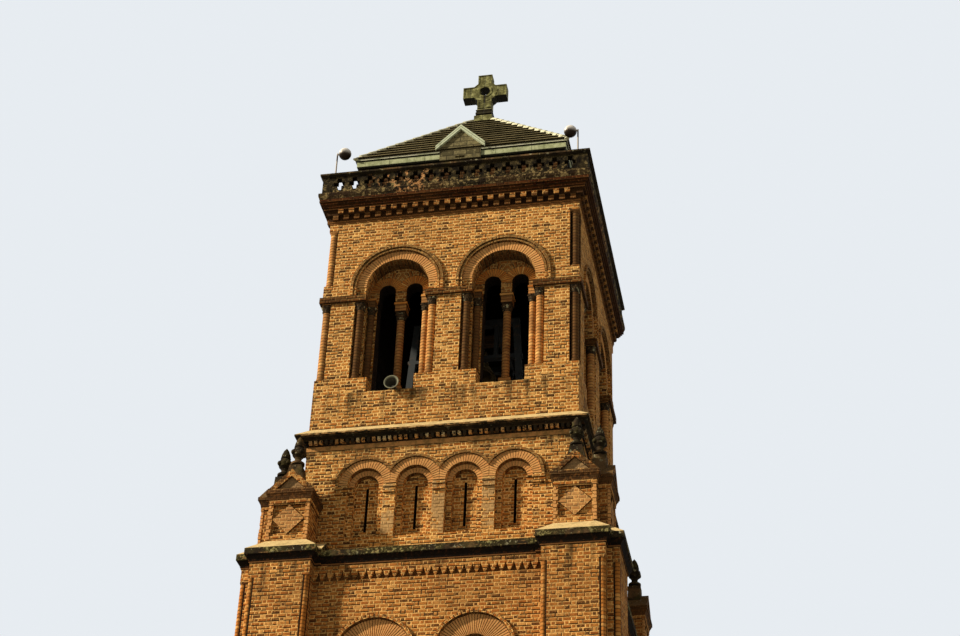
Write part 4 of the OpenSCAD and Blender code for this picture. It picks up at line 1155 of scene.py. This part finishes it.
class TOWER_OT_roof_tiles(bpy.types.Operator):
    """Hangs courses of overlapping tiles on the four slopes and ridge tiles on the hips"""
    bl_idname = "tower.roof_tiles"
    bl_label = "Roof tiles"

    def execute(self, context):
        look = context.scene.tower_roof
        rng = np.random.default_rng(23)
        finish = tile_finish("roof_tile")
        dress(finish, "roof")
        rise, run = Z_ROOF_TOP - Z_EAVES, EAVE - ROOF_HEAD
        slope = math.hypot(rise, run)
        step = slope / look.courses
        courses = [self.course(look, rng, row, step, slope, rise, run) for row in range(look.courses)]
        add_blocks("roof_tiles", on_sides(np.concatenate(courses)), finish, rng)
        self.hips(look, rise, run)
        return {"FINISHED"}

    def course(self, look, rng, row, step, slope, rise, run):
        """One course on the front: each tile is a wedge, thick at its foot, cut off at the hips.

        A point s up the slope and t off it lies at y = -(eave - run s / slope) - t rise / slope and
        z = eaves + rise s / slope + t run / slope.
        """
        lap, gap, foot, head, sunk, narrowest = 1.1, 0.004, 0.042, 0.010, 0.002, 0.012
        low, high = row * step, min(row * step + step * lap, slope)
        half = EAVE - run * low / slope
        count = max(2, int(round(2 * half / look.tile)))
        width = 2 * half / count
        left = -half + width * (np.arange(count + 1) - 0.5 * (row % 2))
        low = low + rng.uniform(0.0, 0.002, count + 1)
        s = np.stack([low, np.full(count + 1, high)], axis=-1)[:, :, None, None]
        u = np.stack([left, left + width - gap], axis=-1)[:, None, :, None]
        lift = rng.uniform(0.0, 0.0015, count + 1)
        top = np.stack([foot + lift, head + lift], axis=-1)[:, :, None, None]
        t = -sunk + np.array([0.0, 1.0])[None, None, None, :] * top
        reach = EAVE - run * s / slope
        blocks = places(np.clip(u, -reach, reach), -reach - t * rise / slope,
                        Z_EAVES + rise * s / slope + t * run / slope).reshape(-1, 8, 3)
        return blocks[np.ptp(blocks[:, :, 0], axis=1) > narrowest]

    def hips(self, look, rise, run):
        """Half-round ridge tiles: a circle carried up each hip whose radius steps down along every tile."""
        finish = hip_finish("hip_mortar")
        dress(finish, "roof_hips")
        tiles, sides = look.courses, 14
        foot_radius, head_radius, lift, start, share = 0.048, 0.038, 0.012, 0.035, 0.955
        ends = np.tile([0.0, 0.03, 0.97], tiles) + np.repeat(np.arange(tiles), 3)
        along = np.append(ends, tiles)[:, None, None] / tiles
        radius = np.append(np.tile([0.0, foot_radius, head_radius], tiles), 0.0)[:, None, None]
        way = np.array([run, run, rise])
        foot = np.array([-EAVE, -EAVE, Z_EAVES + lift]) + way * start
        way = way * share
        ahead = way / np.linalg.norm(way)
        across = np.cross(ahead, [0.0, 0.0, 1.0])
        across = across / np.linalg.norm(across)
        over = np.cross(across, ahead)
        angle = np.arange(sides)[:, None] * 2 * math.pi / sides
        circle = np.cos(angle) * across + np.sin(angle) * over
        grid = on_sides((foot + along * way + radius * circle[None])[None])
        add_piece("hip_tiles", grid, sheet_faces(grid), finish)


class TOWER_OT_copper_work(bpy.types.Operator):
    """Greens the gutter, dormer copings and cross, and adds the hub, collar and edging of the cross"""
    bl_idname = "tower.copper_work"
    bl_label = "Copper work"

    def execute(self, context):
        dress(copper_finish("gutter_copper", 0.2, 0.62, [gutter_coat]), "eaves_gutter")
        metal = copper_finish("cross_copper", 0.7, 0.268, [cross_coat])
        dress(metal, "cross")
        dress(dormer_finish("dormer_block"), "dormers")
        reach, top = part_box("cross")[1].x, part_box("cross")[1].z
        bar, middle, hub = 0.134, top - reach, 0.205
        corners = [(bar, middle - reach), (bar, middle - hub), (hub, middle - bar), (reach, middle - bar)]
        quarter = np.array(corners) - (0.0, middle)
        back = quarter[::-1]
        outline = np.concatenate([quarter, back * (1, -1), quarter * (-1, -1), back * (-1, 1)])
        outline = outline + (0.0, middle)
        grid = np.stack([self.edging(outline, face) for face in (-1, 1)])
        add_piece("cross_edging", grid, sheet_faces(grid), metal)
        grid = self.hub(middle, hole=0.104, reach=0.245, half=0.098)
        add_piece("cross_hub", grid, sheet_faces(grid), metal)
        half, deep, foot, head, flare = 0.124, 0.100, Z_ROOF_TOP + 0.264, Z_ROOF_TOP + 0.334, (1.24, 1.26)
        collar = box_blocks((-half, -deep, foot), (half, deep, head))
        collar[:, 1::2, :2] *= flare
        add_blocks("cross_collar", collar, metal, np.random.default_rng(1))
        return {"FINISHED"}

    def hub(self, middle, hole, reach, half):
        """A drum round the hole: x = r sin a, z = middle + r cos a, with r and y from a square section."""
        angle = np.arange(32) * 2 * math.pi / 32
        bevel = 0.012
        section = [(hole, -half), (reach - bevel, -half), (reach, -half + bevel), (reach, half - bevel),
                   (reach - bevel, half), (hole, half), (hole, -half)]
        radius, depth = np.array(section)[:, 0:1], np.array(section)[:, 1:2]
        return places(radius * np.sin(angle), depth, middle + radius * np.cos(angle))[None]

    def edging(self, outline, face):
        """A square bead carried round the outline of the cross: each corner is set in along its bisector."""
        ahead = np.roll(outline, -1, axis=0) - outline
        behind = outline - np.roll(outline, 1, axis=0)
        ahead = ahead / np.linalg.norm(ahead, axis=1, keepdims=True)
        behind = behind / np.linalg.norm(behind, axis=1, keepdims=True)
        inward = np.stack([-ahead[:, 1] - behind[:, 1], ahead[:, 0] + behind[:, 0]], axis=-1)
        inward = inward / (1.0 + np.sum(ahead * behind, axis=1, keepdims=True))
        start, end, tall, cross_face = 0.002, 0.020, 0.012, 0.092
        profile = np.array([(start, 0.0), (start, tall), (end, tall), (end, 0.0), (start, 0.0)])
        deep, proud = profile[:, 0:1], profile[:, 1:2]
        return places(outline[:, 0] + inward[:, 0] * deep, face * (cross_face + proud),
                      outline[:, 1] + inward[:, 1] * deep)


class TOWER_OT_portal(bpy.types.Operator):
    """Boards and strap hinges on the two open door leaves"""
    bl_idname = "tower.portal"
    bl_label = "Portal"

    def execute(self, context):
        timber = timber_finish("door_timber", (0.17, 0.085, 0.036), (14.0, 14.0, 1.0))
        dress(timber, "door_leaves")
        low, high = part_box("door_leaves")
        clearance, leaf, proud, strap, rim = 0.012, 0.045, 0.006, 0.0075, 0.002
        face = high.x - clearance - leaf
        count, gap = 5, 0.004
        width = (high.y - low.y) / count
        y = low.y + width * np.arange(count)
        start = places(face - proud, y + gap, low.z + rim)
        end = places(face + rim, y + width - gap, high.z - rim)
        rng = np.random.default_rng(3)
        add_blocks("door_boards", both_hands(box_blocks(start, end)), timber, rng)
        iron = metal_finish("door_iron", (0.035, 0.033, 0.03), 0.6, 0.5, 0.5)
        half, inset, middle, hinge, tip = 0.022, 0.30, 0.92, 0.01, 0.03
        z = np.array([low.z + inset, low.z + middle, high.z - inset])
        start, end = places(face - strap, low.y + hinge, z - half), places(face, high.y - tip, z + half)
        add_blocks("door_straps", both_hands(box_blocks(start, end)), iron, rng)
        return {"FINISHED"}


class TOWER_OT_bell_room(bpy.types.Operator):
    """Finishes the bell, its steel frame and the timber headstock, with moulded bands on the bell"""
    bl_idname = "tower.bell_room"
    bl_label = "Bell room"

    def execute(self, context):
        bronze = metal_finish("bell_bronze", (0.20, 0.14, 0.06), 0.42, 0.85, 0.15)
        dress(bronze, "bell")
        dress(metal_finish("frame_paint", (0.026, 0.028, 0.025), 0.7, 0.1, 0.45), "bell_frame")
        dress(timber_finish("headstock_timber", (0.16, 0.09, 0.045), (1.0, 14.0, 14.0)), "headstock")
        low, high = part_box("bell")
        radius, tall, waist, power, pitch, turn = high.x, 0.59, 0.42, 0.8, 0.14, math.radians(15)
        grids = []
        for step in (1, 2, 5):
            side = radius * (1 - waist * math.sin(turn * step) ** power)
            back, face, edge, half = side - 0.020, side + 0.006, side + 0.010, 0.010
            bead = [(back, -half), (face, -half), (edge, 0.0), (face, half), (back, half), (back, -half)]
            grids.append(lathe(bead, [(0.0, 0.0, low.z + pitch * step * tall)], 48))
        grid = np.concatenate(grids)
        add_piece("bell_bands", grid, sheet_faces(grid), bronze, smooth=True)
        return {"FINISHED"}


class TOWER_OT_lamps_and_horn(bpy.types.Operator):
    """Finishes the two floodlights and the horn loudspeaker"""
    bl_idname = "tower.lamps_and_horn"
    bl_label = "Lamps and horn"

    def execute(self, context):
        dress(lamp_finish("lamp_shell"), "floodlights")
        dress(horn_finish("horn_shell"), "horn_loudspeaker")
        return {"FINISHED"}


class TOWER_OT_stage(bpy.types.Operator):
    """Sets the pale floor, the main light, the light from all round and the camera"""
    bl_idname = "tower.stage"
    bl_label = "Stage"

    def execute(self, context):
        look, scene = context.scene.tower_stage, context.scene
        scene.view_settings.view_transform = "Standard"
        self.floor(scene, look)
        self.world(scene, look)
        key = bpy.data.lights.new("key", "SUN")
        key.energy = look.key
        key.angle = math.radians(4)
        key.color = (1.0, 0.93, 0.81)
        lamp = bpy.data.objects.new("key", key)
        lamp.rotation_euler = (math.radians(60.7), 0.0, math.radians(-66.6))
        scene.collection.objects.link(lamp)
        self.camera(scene)
        return {"FINISHED"}

    def floor(self, scene, look):
        """One large flat square on the ground."""
        size = 90.0
        mesh = bpy.data.meshes.new("floor")
        corners = [(-size, -size, 0), (size, -size, 0), (size, size, 0), (-size, size, 0)]
        mesh.from_pydata(corners, [], [(0, 1, 2, 3)])
        mesh.materials.append(floor_finish("pale_floor", look.ground))
        floor = bpy.data.objects.new("floor", mesh)
        scene.collection.objects.link(floor)

    def world(self, scene, look):
        """Even light from all round; rays from the camera, mirrors and glass see the backdrop instead."""
        scene.world = bpy.data.worlds.new("studio")
        tree = Nodes(scene.world)
        kinds = ("Camera", "Glossy", "Transmission")
        rays = [tree.node("LightPath", output="Is %s Ray" % kind) for kind in kinds]
        light = tree.node("Background", None, {0: (1.0, 0.98, 0.94), 1: look.fill})
        backdrop = tree.node("Background", None, {0: look.backdrop})
        blend = tree.node("MixShader", None, {0: rays[0] | rays[1] | rays[2], 1: light, 2: backdrop})
        tree.node("OutputWorld", None, {0: blend})

    def camera(self, scene):
        """A camera at the foot of the tower: its axes follow from yaw, pitch and roll."""
        yaw, pitch, roll = 0.2136, 0.6169, 0.0413
        focal, wide, sensor = 1821.2, 960.0, 36.0
        eye = (5.487, -24.992, 0.80)
        level = np.array([math.cos(yaw), math.sin(yaw), 0.0])
        way = np.array([-math.sin(yaw), math.cos(yaw), 0.0])
        ahead = way * math.cos(pitch) + np.array([0.0, 0.0, math.sin(pitch)])
        above = np.cross(level, ahead)
        right = math.cos(roll) * level + math.sin(roll) * above
        top = math.cos(roll) * above - math.sin(roll) * level
        camera = bpy.data.objects.new("camera", bpy.data.cameras.new("camera"))
        camera.data.lens = focal * sensor / wide
        camera.data.clip_end = 400.0
        axes = Matrix(np.column_stack([right, top, -ahead]).tolist()).to_4x4()
        camera.matrix_world = Matrix.Translation(eye) @ axes
        scene.collection.objects.link(camera)
        scene.camera = camera


class TOWER_PT_panel(bpy.types.Panel):
    """Lists the steps that dress the tower"""
    bl_idname = "TOWER_PT_panel"
    bl_label = "Bell tower"
    bl_space_type = "VIEW_3D"
    bl_region_type = "UI"
    bl_category = "Tower"

    def draw(self, context):
        column = self.layout.column()
        for step in STEPS:
            column.operator(step.bl_idname)
        for group, kind in GROUPS.items():
            for name in kind.__annotations__:
                column.prop(getattr(context.scene, group), name)


GROUPS = {"tower_bricks": TowerBricks, "tower_stone": TowerStone, "tower_roof": TowerRoof,
          "tower_stage": TowerStage}
STEPS = [TOWER_OT_brickwork, TOWER_OT_arch_bricks, TOWER_OT_mouldings, TOWER_OT_capitals,
         TOWER_OT_roof_tiles, TOWER_OT_copper_work, TOWER_OT_portal, TOWER_OT_bell_room,
         TOWER_OT_lamps_and_horn, TOWER_OT_stage]


def register():
    for item in list(GROUPS.values()) + STEPS + [TOWER_PT_panel]:
        bpy.utils.register_class(item)
    for name, group in GROUPS.items():
        setattr(bpy.types.Scene, name, PointerProperty(type=group))


def unregister():
    for name in GROUPS:
        delattr(bpy.types.Scene, name)
    for item in [TOWER_PT_panel] + STEPS[::-1] + list(GROUPS.values())[::-1]:
        bpy.utils.unregister_class(item)


def main():
    register()
    for step in STEPS:
        group, name = step.bl_idname.split(".")
        getattr(getattr(bpy.ops, group), name)()


if __name__ == "__main__":
    main()
